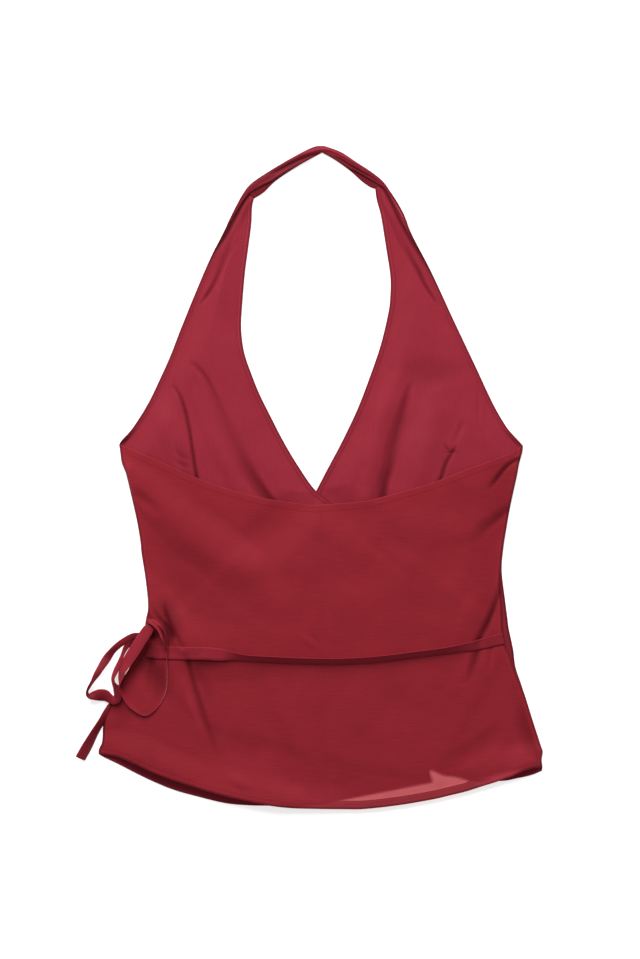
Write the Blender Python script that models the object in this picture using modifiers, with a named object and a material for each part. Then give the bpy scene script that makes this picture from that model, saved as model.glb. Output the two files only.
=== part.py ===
"""Halter wrap top of a light woven cloth, laid out face down on a flat surface.

Run with: blender --background --python part.py

Blender units are metres and +Z is up. +Y points to the neck band, the back lies uppermost and the
origin is at the middle of the garment, on the surface. Every size below is in millimetres.

Each panel is a grid laid between four edge curves. Its height is the step over the panels that lie
under it, plus its own soft folds, and a Solidify modifier gives it its wall. Each tie is a strip
along a route. The outer front lies on the surface, the inner front crosses over it, and the two
halves of the back lie on both.
"""

import math

import bmesh
import bpy
from mathutils import Vector
from mathutils.bvhtree import BVHTree

MM = 0.001
COLLECTION = "halter_wrap_top"

# Cloth
WALL = 1.0  # wall of one panel
BAND_WALL = 2.0  # the neck band is folded double
TIE_WALL = 1.0
TIE_WIDTH = 13.5
GAP = 0.3  # clearance between two pieces at a seam
LAYER = WALL + 0.5  # step of a panel over the one that it lies on
STEP_MARGIN = 22.0  # a panel keeps its full step this far past the edge of the one below
STEP_RAMP = 60.0  # then it comes down over this length

# Grid of each panel: columns across, rows along
FRONT_GRID = (14, 30)
BACK_GRID = (14, 17)
BAND_GRID = (36, 3)
CURVE_STEPS = 12  # points worked out between two points of an outline

# The sections of a belt that lies flat and of one that has rolled on itself, from its lower edge to
# its upper one: how far across, in widths, and how high, in widths
FLAT_SECTION = ((-0.50, 0.00), (-0.25, 0.00), (0.00, 0.00), (0.25, 0.00), (0.50, 0.00))
ROLLED_SECTION = ((-0.30, 0.00), (-0.14, 0.19), (0.03, 0.36), (0.17, 0.42), (0.30, 0.26))

# Corners, x and y
BAND_LEFT_OUTER, BAND_LEFT_INNER = (-71, 302), (-60, 298)
BAND_RIGHT_OUTER, BAND_RIGHT_INNER = (79, 316), (69, 308)
UNDERARM_LEFT, UNDERARM_RIGHT = (-204, 36), (226, 35)
HEM_LEFT, HEM_RIGHT = (-225, -295), (244, -313)
BACK_TOP_MIDDLE, BACK_HEM_MIDDLE = (3, -30), (9, -353)
INNER_TIE_CORNER, OUTER_TIE_CORNER = (202, -172), (-164, -182)
INNER_HEM_CORNER, OUTER_HEM_CORNER = (128, -324), (-107, -255)

# Edges between those corners, from the neck end down to the hem
ARMHOLE_LEFT = (
    BAND_LEFT_OUTER, (-91, 262), (-117, 211), (-143, 142), (-167, 91), (-186, 57), UNDERARM_LEFT,
)
ARMHOLE_RIGHT = (
    BAND_RIGHT_OUTER, (97, 287), (125, 228), (148, 176), (173, 125), (197, 74), UNDERARM_RIGHT,
)
SIDE_LEFT = (
    UNDERARM_LEFT, (-197, 5), (-184, -45), (-179, -79), (-172, -124), (-173, -152),
    (-182, -184), (-199, -222), (-213, -242), (-220, -262), (-221, -280), HEM_LEFT,
)
SIDE_RIGHT = (
    UNDERARM_RIGHT, (220, 0), (209, -50), (205, -100), (211, -152), (218, -193), (229, -230),
    (242, -270), (249, -291), HEM_RIGHT,
)
NECK_INNER_FRONT = (
    BAND_LEFT_INNER, (-63, 275), (-68, 228), (-73, 175), (-68, 125), (-47, 74), (-20, 23), (17, -22),
    (80, -75), (145, -125), INNER_TIE_CORNER,
)
NECK_OUTER_FRONT = (
    BAND_RIGHT_INNER, (76, 279), (85, 225), (83, 176), (70, 125), (51, 74), (26, 23), (0, -24),
    (-55, -75), (-112, -132), OUTER_TIE_CORNER,
)
HEM_INNER_FRONT = (
    HEM_LEFT, (-189, -312), (-145, -332), (-90, -346), (-35, -351), (30, -344), INNER_HEM_CORNER,
)
HEM_OUTER_FRONT = (OUTER_HEM_CORNER, (0, -284), (90, -307), (150, -321), (203, -324), HEM_RIGHT)
HEM_BACK_LEFT = (HEM_LEFT, (-200, -301), (-154, -320), (-96, -339), (-40, -350), BACK_HEM_MIDDLE)
HEM_BACK_RIGHT = (BACK_HEM_MIDDLE, (58, -352.6), (112, -347), (165, -335), (207, -323), HEM_RIGHT)
TOP_BACK_LEFT = (UNDERARM_LEFT, (-152, 13), (-90, -11), (-42, -24), BACK_TOP_MIDDLE)
TOP_BACK_RIGHT = (BACK_TOP_MIDDLE, (52, -26), (99, -15), (161, 6), UNDERARM_RIGHT)
BAND_OUTER = (
    BAND_LEFT_OUTER, (-63, 313), (-46, 324), (-22, 339), (1, 351), (13, 353), (22, 351), (34, 346),
    (56, 331), BAND_RIGHT_OUTER,
)
BAND_INNER = (
    BAND_LEFT_INNER, (-37, 317), (-12, 333), (13, 347), (27, 339), (43, 328), (58, 315), BAND_RIGHT_INNER,
)

# How far along its neck edge a front has reached at the underarm, at the tie corner and at the hem
UNDERARM_SHARE, TIE_SHARE = 0.44, 0.80

# Soft folds that stand up from a panel: both ends, height and half width at the foot
INNER_FRONT_FOLDS = (
    # x0, y0, x1, y1, height, half width
    (-82, 255, -118, 185, 2.2, 24),
    (-128, 120, -64, 40, 2.8, 32),
    (-150, 105, -122, 45, 2.2, 26),
)
OUTER_FRONT_FOLDS = (
    (98, 262, 140, 190, 2.2, 24),
    (104, 85, 88, 30, 2.8, 32),
    (168, 75, 152, 38, 2.2, 26),
)
BACK_FOLDS = (
    (-128, -40, -40, -108, 3.2, 46),
    (-150, -110, -60, -165, 3.2, 42),
    (212, -100, 176, -178, 4.2, 32),
    (150, -20, 60, -120, 2.8, 46),
    (-132, -215, -98, -290, 3.6, 30),
    (-10, -215, 15, -330, 2.8, 52),
    (95, -215, 140, -320, 3.2, 46),
    (178, -215, 205, -300, 3.2, 36),
)
FOLD_END_SHARE = 0.35  # of its height that a fold keeps at both ends

# The belt across the back, from the knot to the slit in the right side seam
BELT_ROUTE = (
    # x, y, how far it has rolled on itself (0 flat, 1 rolled)
    (-171, -186, 0.0),
    (-120, -187, 0.0),
    (-92, -189, 0.2),
    (-64, -191, 0.9),
    (0, -195, 1.0),
    (60, -194, 1.0),
    (120, -187, 0.9),
    (170, -180, 0.5),
    (203, -171, 0.3),
)
BELT_STATIONS = 44
BELT_LIFT = 0.55  # over the facets of the back

# The bow. Columns: x, y, height of its middle, tilt about its run in degrees, width
LONG_LOOP_ROUTE = (
    (-174.8, -169.7, 13.8, 8, 10.0),
    (-181.5, -179, 13.6, 6, 13.0),
    (-190, -194, 13.0, 12, 13.5),
    (-197.5, -208, 11.8, 34, 13.5),
    (-201.5, -223, 11.3, 62, 13.5),
    (-197, -238, 11.0, 64, 13.5),
    (-187, -249, 10.7, 60, 13.5),
    (-173, -253.5, 10.6, 58, 13.5),
    (-161, -243, 10.6, 58, 13.5),
    (-153, -225, 10.8, 58, 13.5),
    (-150, -205, 11.8, 58, 13.5),
    (-149.5, -187, 13.0, 52, 12.0),
    (-150, -174, 11.9, 40, 9.0),
)
SHORT_LOOP_ROUTE = (
    (-173.9, -164.0, 9.8, -6, 6.0),
    (-184, -168, 8.8, -14, 7.0),
    (-197, -173.5, 8.2, -38, 9.5),
    (-208.5, -183.5, 7.6, -50, 12.5),
    (-221, -201, 7.4, -58, 13.5),
    (-232.5, -219.5, 7.4, -74, 13.5),
    (-237, -229.5, 7.4, -80, 13.5),
    (-229.5, -233, 7.2, -62, 13.5),
    (-220, -231.5, 6.4, -20, 13.5),
    (-212.5, -235.5, 6.8, -20, 12.0),
    (-208.5, -229, 7.4, -64, 9.0),
    (-209.5, -216, 6.6, -84, 8.5),
    (-206, -200, 6.2, -82, 8.0),
    (-199.5, -187, 6.2, -70, 7.0),
    (-192.5, -178.5, 6.8, -50, 6.0),
)
# The free end comes off the knot, goes under the left edge at the waist and out again lower down
TAIL_ROUTE = (
    (-171, -166, 0.5, 0, 11.0),
    (-176, -185, 0.5, 0, 12.0),
    (-188, -208, 0.5, 0, 11.0),
    (-202, -231, 0.5, 0, 9.0),
    (-215, -250, 0.5, 0, 8.0),
    (-226.5, -268.5, 0.5, 0, 8.5),
    (-244.5, -299, 0.5, 0, 10.8),
)
TAIL_UNDER_ROWS = 5  # rows of the tail's route that the garment lies on
LOOP_STATIONS = 36
TAIL_STATIONS = 14
KNOT_CENTRE = (-163.0, -166.0, 9.4)
KNOT_SIZE = (17.0, 24.0, 9.6)
KNOT_TURN = math.radians(-22)

# Finishes: name of the material, base colour (linear), roughness
CLOTH = ("burgundy_slub_weave", (0.255, 0.022, 0.032, 1.0), 0.62)
CLOTH_INSIDE = ("burgundy_slub_weave_fronts", (0.315, 0.026, 0.040, 1.0), 0.60)
TIE_CLOTH = ("burgundy_tie_cloth", (0.215, 0.018, 0.027, 1.0), 0.58)


def clear_scene():
    """Removes every object that the scene starts with."""
    for thing in list(bpy.data.objects):
        bpy.data.objects.remove(thing, do_unlink=True)


def make_collection():
    collection = bpy.data.collections.new(COLLECTION)
    bpy.context.scene.collection.children.link(collection)
    return collection


def make_material(finish):
    name, colour, roughness = finish
    material = bpy.data.materials.new(name)
    material.use_nodes = True
    shader = material.node_tree.nodes["Principled BSDF"]
    shader.inputs["Base Color"].default_value = colour
    shader.inputs["Roughness"].default_value = roughness
    shader.inputs["Metallic"].default_value = 0.0
    return material


def smoothstep(t):
    """0 below 0, 1 above 1, and a soft S between."""
    t = min(max(t, 0.0), 1.0)
    return t * t * (3.0 - 2.0 * t)


def curve_through(rows, steps=CURVE_STEPS):
    """Vectors along the Catmull-Rom curve through the rows, with their ends."""
    knots = [Vector(row) for row in rows]
    knots = [2 * knots[0] - knots[1]] + knots + [2 * knots[-1] - knots[-2]]
    found = [knots[1].copy()]
    for before, start, end, after in zip(knots, knots[1:], knots[2:], knots[3:]):
        for step in range(1, steps + 1):
            t = step / steps
            found.append(0.5 * (
                2 * start
                + (end - before) * t
                + (2 * before - 5 * start + 4 * end - after) * t ** 2
                + (3 * start - before - 3 * end + after) * t ** 3
            ))
    return found


def along(points, share):
    """The point at this share of the curve's length."""
    lengths = [0.0]
    for start, end in zip(points, points[1:]):
        lengths.append(lengths[-1] + (end - start).length)
    target = share * lengths[-1]
    for index, (start, end) in enumerate(zip(points, points[1:])):
        if target <= lengths[index + 1] or index == len(points) - 2:
            span = lengths[index + 1] - lengths[index]
            return start.lerp(end, (target - lengths[index]) / span)
    return points[-1]


def edge(*stretches):
    """An edge as a function of 0 to 1. A stretch is the share at which it ends and its outline."""
    curves = [(end, curve_through(rows)) for end, rows in stretches]

    def at(t):
        start = 0.0
        for end, points in curves:
            if t <= end:
                return along(points, (t - start) / (end - start))
            start = end
        return curves[-1][1][-1]

    return at


def reversed_edge(curve):
    return lambda t: curve(1.0 - t)


def straight(start, end):
    return lambda t: Vector(start).lerp(Vector(end), t)


def patch(left, right, bottom, top):
    """The Coons patch between four edges. left and right run up, bottom and top run to the right."""

    def at(u, v):
        sides = left(v) * (1 - u) + right(v) * u
        ends = bottom(u) * (1 - v) + top(u) * v
        corners = (
            bottom(0) * (1 - u) * (1 - v) + bottom(1) * u * (1 - v)
            + top(0) * (1 - u) * v + top(1) * u * v
        )
        return sides + ends - corners

    return at


def outline_of(surface, steps=60):
    """The closed outline of a patch, as points."""
    shares = [step / steps for step in range(steps)]
    return (
        [surface(t, 0.0) for t in shares]
        + [surface(1.0, t) for t in shares]
        + [surface(1.0 - t, 1.0) for t in shares]
        + [surface(0.0, 1.0 - t) for t in shares]
    )


def distance_to_stretch(point, start, end):
    """Distance from a point to a straight stretch, and the share of it that lies nearest."""
    run = end - start
    share = min(max((point - start).dot(run) / max(run.length_squared, 1e-9), 0.0), 1.0)
    return (point - start - run * share).length, share


def distance_outside(outline, point):
    """How far the point lies outside a closed outline, and 0 inside it."""
    inside = False
    nearest = math.inf
    for start, end in zip(outline, outline[1:] + outline[:1]):
        if (start.y > point.y) != (end.y > point.y):
            crossing = start.x + (point.y - start.y) / (end.y - start.y) * (end.x - start.x)
            inside ^= point.x < crossing
        nearest = min(nearest, distance_to_stretch(point, start, end)[0])
    return 0.0 if inside else nearest


def step_at(distance):
    """Height of a cloth layer at this distance from the edge of the piece that it crosses over."""
    return LAYER * (1.0 - smoothstep((distance - STEP_MARGIN) / STEP_RAMP))


def folds_at(folds, point):
    """Height of the soft folds at a point. Each is a bell across and is lower at both ends."""
    height = 0.0
    for x0, y0, x1, y1, rise, half_width in folds:
        distance, share = distance_to_stretch(point, Vector((x0, y0)), Vector((x1, y1)))
        fade = FOLD_END_SHARE + (1 - FOLD_END_SHARE) * math.sin(math.pi * share)
        bell = 0.5 + 0.5 * math.cos(math.pi * min(distance / half_width, 1.0))
        height += rise * fade * bell
    return height


def finish_sheet(name, mesh, wall, offset, material, collection):
    """Makes the object of an open sheet and gives it its wall."""
    mesh.materials.append(material)
    sheet = bpy.data.objects.new(name, mesh)
    collection.objects.link(sheet)
    solidify = sheet.modifiers.new("wall", "SOLIDIFY")
    solidify.thickness = wall * MM
    solidify.offset = offset
    return sheet


def grid_mesh(name, columns, rows, place):
    """A mesh of columns by rows faces, with each point of the unit square moved by place."""
    grid = bmesh.new()
    bmesh.ops.create_grid(grid, x_segments=columns, y_segments=rows, size=0.5)
    for vertex in grid.verts:
        vertex.co = place(vertex.co.x + 0.5, vertex.co.y + 0.5) * MM
    mesh = bpy.data.meshes.new(name)
    grid.to_mesh(mesh)
    grid.free()
    return mesh


def make_panel(name, surface, height, grid, material, collection, wall=WALL):
    """A cloth panel on the surface, whose underside follows the height."""

    def place(u, v):
        point = surface(u, v)
        return Vector((point.x, point.y, height(point)))

    mesh = grid_mesh(name, *grid, place)
    return finish_sheet(name, mesh, wall, 1.0, material, collection)


def inner_front_surface():
    """Wearer's left front: armhole and side seam on its left, neck edge and free edge on its right."""
    left = edge((UNDERARM_SHARE, ARMHOLE_LEFT), (1.0, SIDE_LEFT))
    right = edge((TIE_SHARE, NECK_INNER_FRONT), (1.0, (INNER_TIE_CORNER, (168, -250), INNER_HEM_CORNER)))
    return patch(
        reversed_edge(left), reversed_edge(right), edge((1.0, HEM_INNER_FRONT)),
        straight(BAND_LEFT_OUTER, BAND_LEFT_INNER),
    )


def outer_front_surface():
    """Wearer's right front: neck edge and free edge on its left, armhole and side seam on its right."""
    left = edge((TIE_SHARE, NECK_OUTER_FRONT), (1.0, (OUTER_TIE_CORNER, (-138, -221), OUTER_HEM_CORNER)))
    right = edge((UNDERARM_SHARE, ARMHOLE_RIGHT), (1.0, SIDE_RIGHT))
    return patch(
        reversed_edge(left), reversed_edge(right), edge((1.0, HEM_OUTER_FRONT)),
        straight(BAND_RIGHT_INNER, BAND_RIGHT_OUTER),
    )


def back_surfaces():
    """The two halves of the back, either side of the centre seam."""
    half_gap = Vector((GAP / 2, 0))
    top, hem = Vector(BACK_TOP_MIDDLE), Vector(BACK_HEM_MIDDLE)
    left = patch(
        reversed_edge(edge((1.0, SIDE_LEFT))), straight(hem - half_gap, top - half_gap),
        edge((1.0, HEM_BACK_LEFT[:-1] + (tuple(hem - half_gap),))),
        edge((1.0, TOP_BACK_LEFT[:-1] + (tuple(top - half_gap),))),
    )
    right = patch(
        straight(hem + half_gap, top + half_gap), reversed_edge(edge((1.0, SIDE_RIGHT))),
        edge((1.0, (tuple(hem + half_gap),) + HEM_BACK_RIGHT[1:])),
        edge((1.0, (tuple(top + half_gap),) + TOP_BACK_RIGHT[1:])),
    )
    return left, right


def make_fronts(collection, material):
    """Both fronts. Returns the functions for the step over the outer one and over both."""
    outer, inner = outer_front_surface(), inner_front_surface()
    outer_outline, inner_outline = outline_of(outer), outline_of(inner)
    tail = [Vector(row[:2]) for row in TAIL_ROUTE[:TAIL_UNDER_ROWS]]

    def over_outer(point):
        beside_tail = min(
            distance_to_stretch(point, start, end)[0] for start, end in zip(tail, tail[1:])
        )
        return step_at(min(distance_outside(outer_outline, point), beside_tail - TIE_WIDTH / 2))

    def over_both(point):
        return over_outer(point) + step_at(distance_outside(inner_outline, point))

    make_panel(
        "front_outer", outer, lambda point: folds_at(OUTER_FRONT_FOLDS, point),
        FRONT_GRID, material, collection,
    )
    make_panel(
        "front_inner", inner, lambda point: over_outer(point) + folds_at(INNER_FRONT_FOLDS, point),
        FRONT_GRID, material, collection,
    )
    return over_both


def make_back(collection, material, over_fronts):
    """Both halves of the back, on the fronts."""

    def height(point):
        return over_fronts(point) + folds_at(BACK_FOLDS, point)

    return [
        make_panel(name, surface, height, BACK_GRID, material, collection)
        for name, surface in zip(("back_left", "back_right"), back_surfaces())
    ]


def make_neck_band(collection, material):
    """The band behind the neck, sewn to the tops of the fronts."""
    inner, outer = edge((1.0, BAND_INNER)), edge((1.0, BAND_OUTER))
    left = straight(BAND_LEFT_INNER, BAND_LEFT_OUTER)
    right = straight(BAND_RIGHT_INNER, BAND_RIGHT_OUTER)
    surface = patch(left, right, inner, outer)
    trim = 0.0022  # share of its length that keeps each end clear of the front it is sewn to

    def clear_surface(u, v):
        return surface(trim + (1 - 2 * trim) * u, v)

    make_panel(
        "neck_band", clear_surface, lambda point: 0.0, BAND_GRID, material, collection, BAND_WALL
    )


def surface_under(panels):
    """A function for the top of the finished panels at a point, from their own facets."""
    bpy.context.view_layer.update()
    graph = bpy.context.evaluated_depsgraph_get()
    trees = [BVHTree.FromObject(panel, graph) for panel in panels]
    sky, down = 1.0, Vector((0, 0, -1))

    def top(x, y):
        hits = [tree.ray_cast(Vector((x * MM, y * MM, sky)), down)[0] for tree in trees]
        return max((hit.z / MM for hit in hits if hit), default=0.0)

    return top


def frame_at(points, share):
    """A point of a route and the level direction across it, to the left of its run."""
    here = along(points, share)
    run = along(points, min(share + 0.01, 1.0)) - along(points, max(share - 0.01, 0.0))
    across = Vector((-run.y, run.x, 0.0)).normalized()
    return here, across


def make_belt(collection, material, panels):
    """The belt on the back. Its section goes from flat to rolled, on the facets that it lies on."""
    points = curve_through(BELT_ROUTE)
    top = surface_under(panels)
    last = len(FLAT_SECTION) - 1

    def place(u, v):
        here, across = frame_at(points, u)
        index = round(v * last)
        roll = smoothstep(here.z)
        flat, rolled = Vector(FLAT_SECTION[index]), Vector(ROLLED_SECTION[index])
        offset, rise = flat.lerp(rolled, roll) * TIE_WIDTH
        spot = Vector((here.x, here.y, 0.0)) + across * offset
        reach = 2.0
        ground = max(
            top(spot.x + dx, spot.y + dy) for dx in (-reach, 0, reach) for dy in (-reach, 0, reach)
        )
        spot.z = ground + BELT_LIFT + rise
        return spot

    mesh = grid_mesh("tie_belt", BELT_STATIONS, last, place)
    finish_sheet("tie_belt", mesh, TIE_WALL, 1.0, material, collection)


def make_ribbon(name, route, stations, collection, material):
    """A strip along a route, tilted about its run."""
    points = curve_through([row[:3] for row in route])
    shapes = curve_through([row[3:] for row in route])
    last = len(points) - 1

    def place(u, v):
        station = round(u * last)
        run = points[min(station + 1, last)] - points[max(station - 1, 0)]
        across = Vector((-run.y, run.x, 0.0)).normalized()
        tilt, width = math.radians(shapes[station].x), shapes[station].y
        lean = across * math.cos(tilt) + Vector((0, 0, math.sin(tilt)))
        return points[station] + lean * (v - 0.5) * width

    mesh = grid_mesh(name, stations, 2, place)
    finish_sheet(name, mesh, TIE_WALL, 0.0, material, collection)


def make_knot(collection, material):
    """The knot, a rounded cage with Subdivision Surface."""
    cage = bmesh.new()
    bmesh.ops.create_cube(cage, size=1.0)
    bmesh.ops.subdivide_edges(cage, edges=cage.edges[:], cuts=1, use_grid_fill=True)
    for vertex in cage.verts:
        vertex.co = Vector(
            (vertex.co.x * KNOT_SIZE[0], vertex.co.y * KNOT_SIZE[1], vertex.co.z * KNOT_SIZE[2])
        ) * MM
    mesh = bpy.data.meshes.new("tie_knot")
    cage.to_mesh(mesh)
    cage.free()
    mesh.materials.append(material)
    knot = bpy.data.objects.new("tie_knot", mesh)
    collection.objects.link(knot)
    knot.location = Vector(KNOT_CENTRE) * MM
    knot.rotation_euler.z = KNOT_TURN
    rounding = knot.modifiers.new("rounding", "SUBSURF")
    rounding.levels = rounding.render_levels = 2


def make_bow(collection, material):
    """The knot, its two loops and the one free end."""
    make_knot(collection, material)
    make_ribbon("tie_loop_long", LONG_LOOP_ROUTE, LOOP_STATIONS, collection, material)
    make_ribbon("tie_loop_short", SHORT_LOOP_ROUTE, LOOP_STATIONS, collection, material)
    make_ribbon("tie_tail", TAIL_ROUTE, TAIL_STATIONS, collection, material)


def main():
    clear_scene()
    collection = make_collection()
    cloth, inside, tie = (make_material(finish) for finish in (CLOTH, CLOTH_INSIDE, TIE_CLOTH))
    over_fronts = make_fronts(collection, inside)
    back = make_back(collection, cloth, over_fronts)
    make_neck_band(collection, inside)
    make_belt(collection, tie, back)
    make_bow(collection, tie)


main()
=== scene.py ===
"""Looks of a halter wrap top in burgundy slub viscose, laid out face down and seen from above.

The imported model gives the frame. Every panel, tie and hem is built here as a thin shell on the form
of its solid, in the same frame: +Y to the neck band, +Z off the table, the back uppermost. Sizes
are in millimetres and become metres where a mesh is made.
"""

from __future__ import annotations

import logging
import math
from dataclasses import dataclass
from enum import Enum
from typing import Callable, Sequence

import bpy
import numpy as np
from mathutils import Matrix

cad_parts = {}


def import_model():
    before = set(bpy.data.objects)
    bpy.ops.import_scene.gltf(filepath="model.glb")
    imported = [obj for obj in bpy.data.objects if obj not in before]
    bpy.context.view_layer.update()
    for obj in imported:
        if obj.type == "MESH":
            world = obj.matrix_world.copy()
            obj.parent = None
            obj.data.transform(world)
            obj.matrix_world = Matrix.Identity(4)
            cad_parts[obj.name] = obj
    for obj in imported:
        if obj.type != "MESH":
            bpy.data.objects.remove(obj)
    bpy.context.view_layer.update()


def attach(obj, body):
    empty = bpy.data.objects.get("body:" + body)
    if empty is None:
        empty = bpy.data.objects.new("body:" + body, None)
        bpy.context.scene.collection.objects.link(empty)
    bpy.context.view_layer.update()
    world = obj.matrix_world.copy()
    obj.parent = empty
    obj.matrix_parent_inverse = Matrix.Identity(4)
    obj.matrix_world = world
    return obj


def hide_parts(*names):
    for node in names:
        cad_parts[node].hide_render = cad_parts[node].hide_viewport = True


LOG = logging.getLogger("halter_wrap_top")
MM = 0.001

Array = np.ndarray
Rows = Sequence[Sequence[float]]
HeightAt = Callable[[Array], Array]


# ---------------------------------------------------------------------------------------------
# Curves and distances
# ---------------------------------------------------------------------------------------------
def smooth(rows: Rows, steps: int = 8) -> Array:
    """The Catmull-Rom curve through the rows: each span is the cubic that leaves and reaches its
    ends in the direction of their neighbours.

    Args:
        rows: Points, each with any number of coordinates.
        steps: Points worked out for each span.

    Returns:
        The points of the curve, one row each.
    """
    knots = np.asarray(rows, float)
    knots = np.vstack([2 * knots[0] - knots[1], knots, 2 * knots[-1] - knots[-2]])
    before, start, end, after = knots[:-3], knots[1:-2], knots[2:-1], knots[3:]
    t = np.linspace(0, 1, steps, endpoint=False)[:, None, None]
    spans = 0.5 * (
        2 * start
        + (end - before) * t
        + (2 * before - 5 * start + 4 * end - after) * t**2
        + (3 * start - before - 3 * end + after) * t**3
    )
    return np.vstack([spans.transpose(1, 0, 2).reshape(-1, knots.shape[1]), knots[-2]])


def lengths_along(path: Array, axes: int = 2) -> Array:
    """Running length at each point of a path, measured on its first axes."""
    steps = np.linalg.norm(np.diff(path[:, :axes], axis=0), axis=1)
    return np.concatenate([[0.0], np.cumsum(steps)])


def at_share(path: Array, shares: Array, axes: int = 2) -> Array:
    """The points at these shares of a path's length.

    Args:
        path: Points of the path.
        shares: Shares of its length, 0 to 1, in an array of any shape.
        axes: How many of the coordinates are a place, and so count in the length.

    Returns:
        An array of the shape of shares, with one more axis for the coordinates.
    """
    run = lengths_along(path, axes)
    wanted = shares * run[-1]
    return np.stack([np.interp(wanted, run, path[:, k]) for k in range(path.shape[1])], -1)


def smoothstep(t: Array) -> Array:
    """0 below 0, 1 above 1, and a soft S between."""
    t = np.clip(t, 0.0, 1.0)
    return t * t * (3.0 - 2.0 * t)


def quarter_round(t: Array) -> Array:
    """A quarter of a circle, which rises upright from 0 and is level from 1 on."""
    return np.sqrt(1 - (1 - np.clip(t, 0, 1)) ** 2)


def above_zero(height: Array) -> Array:
    """The height where it is above 0, with a soft turn to 0 where it is below."""
    return 0.5 * (height + np.sqrt(height**2 + 0.1))


def near_path(points: Array, path: Array) -> tuple[Array, Array, Array]:
    """How points lie to a path, from their nearest place on its straight pieces.

    Args:
        points: Any array of x and y.
        path: Points of the path.

    Returns:
        The distance, the side (1 to the left of the run, -1 to its right) and the share of the
        run at the nearest place.
    """
    flat = points.reshape(-1, 2)
    run = lengths_along(path)
    nearest = np.full(len(flat), np.inf)
    side = np.ones(len(flat))
    share = np.zeros(len(flat))
    for start, step, gone in zip(path[:-1], np.diff(path, axis=0), run):
        size = max(np.hypot(*step), 1e-9)
        offset = flat - start
        t = np.clip(offset @ step / size**2, 0.0, 1.0)
        gap = offset - t[:, None] * step
        distance = np.hypot(gap[:, 0], gap[:, 1])
        closer = distance < nearest
        nearest[closer] = distance[closer]
        cross = step[0] * offset[:, 1] - step[1] * offset[:, 0]
        side[closer] = np.where(cross[closer] >= 0, 1.0, -1.0)
        share[closer] = (gone + t[closer] * size) / run[-1]
    shape = points.shape[:-1]
    return nearest.reshape(shape), side.reshape(shape), share.reshape(shape)


def distance_to(points: Array, *edges: Rows) -> Array:
    """How far points lie from the nearest of these smooth edges."""
    return np.minimum.reduce([near_path(points, smooth(rows))[0] for rows in edges])


def inside_outline(points: Array, outline: Array) -> Array:
    """True where a point lies inside a closed outline: a level ray crosses it an odd number of
    times."""
    x, y = points[..., 0], points[..., 1]
    inside = np.zeros(x.shape, bool)
    for (x0, y0), (x1, y1) in zip(outline, np.roll(outline, -1, axis=0)):
        if y0 == y1:
            continue
        spans = (y0 > y) != (y1 > y)
        inside ^= spans & (x < x0 + (y - y0) / (y1 - y0) * (x1 - x0))
    return inside


def distance_outside(points: Array, outline: Array) -> Array:
    """How far points lie outside a closed outline, and 0 inside it."""
    closed = np.vstack([outline, outline[:1]])
    return np.where(inside_outline(points, outline), 0.0, near_path(points, closed)[0])


# ---------------------------------------------------------------------------------------------
# Relief of the cloth
# ---------------------------------------------------------------------------------------------
@dataclass(frozen=True)
class Fold:
    """A soft ridge or trough, shaped along its run.

    Columns of the rows: x, y, height (below 0 in a trough), reach to the left of the run and
    reach to its right, which is left out where it is the same. Across the run it is a bell,
    (1 - t squared) squared, where t is the distance over the reach on that side. A sharp of 1
    makes it the pointed (1 - t) squared, as in a crease. Little light reaches the bottom of a
    tight trough, and shade, up to 1, says how much painted shade darkens the colour there.
    Below 0 it paints a highlight that makes the ridge look lit.
    """

    rows: Rows
    sharp: float = 0.0
    shade: float = 0.0

    def lift(self, points: Array) -> tuple[Array, Array]:
        """What the fold does at each point.

        Args:
            points: Array of x and y.

        Returns:
            The heights that it adds, and its shade.
        """
        path = smooth([row if len(row) == 5 else (*row, row[3]) for row in self.rows], 6)
        reach = path[:, 3:].max()
        low, high = path[:, :2].min(axis=0) - reach, path[:, :2].max(axis=0) + reach
        close = np.all((points > low) & (points < high), axis=-1)
        height, shade = np.zeros(points.shape[:-1]), np.zeros(points.shape[:-1])
        if not close.any():
            return height, shade
        distance, side, share = near_path(points[close], path[:, :2])
        run = lengths_along(path) / lengths_along(path)[-1]
        peak, left, right = (np.interp(share, run, path[:, k]) for k in (2, 3, 4))
        t = np.clip(distance / np.where(side > 0, left, right), 0.0, 1.0)
        bell = (1 - self.sharp) * (1 - t**2) ** 2 + self.sharp * (1 - t) ** 2
        height[close] = peak * bell
        shade[close] = self.shade * np.abs(peak) / np.abs(path[:, 2]).max() * bell
        return height, shade


@dataclass(frozen=True)
class Ripple:
    """The small unevenness of cloth that has been handled: a sum of sine waves in many directions,
    each of a length between shortest and longest, whose heights grow with their length."""

    seed: int
    height: float = 0.35
    shortest: float = 18.0
    longest: float = 90.0
    waves: int = 18

    def lift(self, points: Array) -> Array:
        """Height of the ripple at each point."""
        draw = np.random.default_rng(self.seed)
        length = np.exp(draw.uniform(math.log(self.shortest), math.log(self.longest), self.waves))
        turn = draw.uniform(0, math.tau, self.waves)
        phase = draw.uniform(0, math.tau, self.waves)
        height = np.zeros(points.shape[:-1])
        for size, angle, start in zip(length, turn, phase):
            across = points[..., 0] * math.cos(angle) + points[..., 1] * math.sin(angle)
            height += size / self.longest * np.sin(math.tau * across / size + start)
        return self.height * height / math.sqrt(self.waves / 2)


@dataclass(frozen=True)
class Relief:
    """The folds and the ripple of one panel."""

    folds: tuple[Fold, ...]
    ripple: Ripple

    def lift(self, points: Array) -> tuple[Array, Array]:
        """Height and shade of all of them at each point."""
        height, shade = self.ripple.lift(points), np.zeros(points.shape[:-1])
        for fold in self.folds:
            added, darker = fold.lift(points)
            height += added
            shade += darker
        return height, np.clip(shade, -1.0, 1.0)


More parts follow.
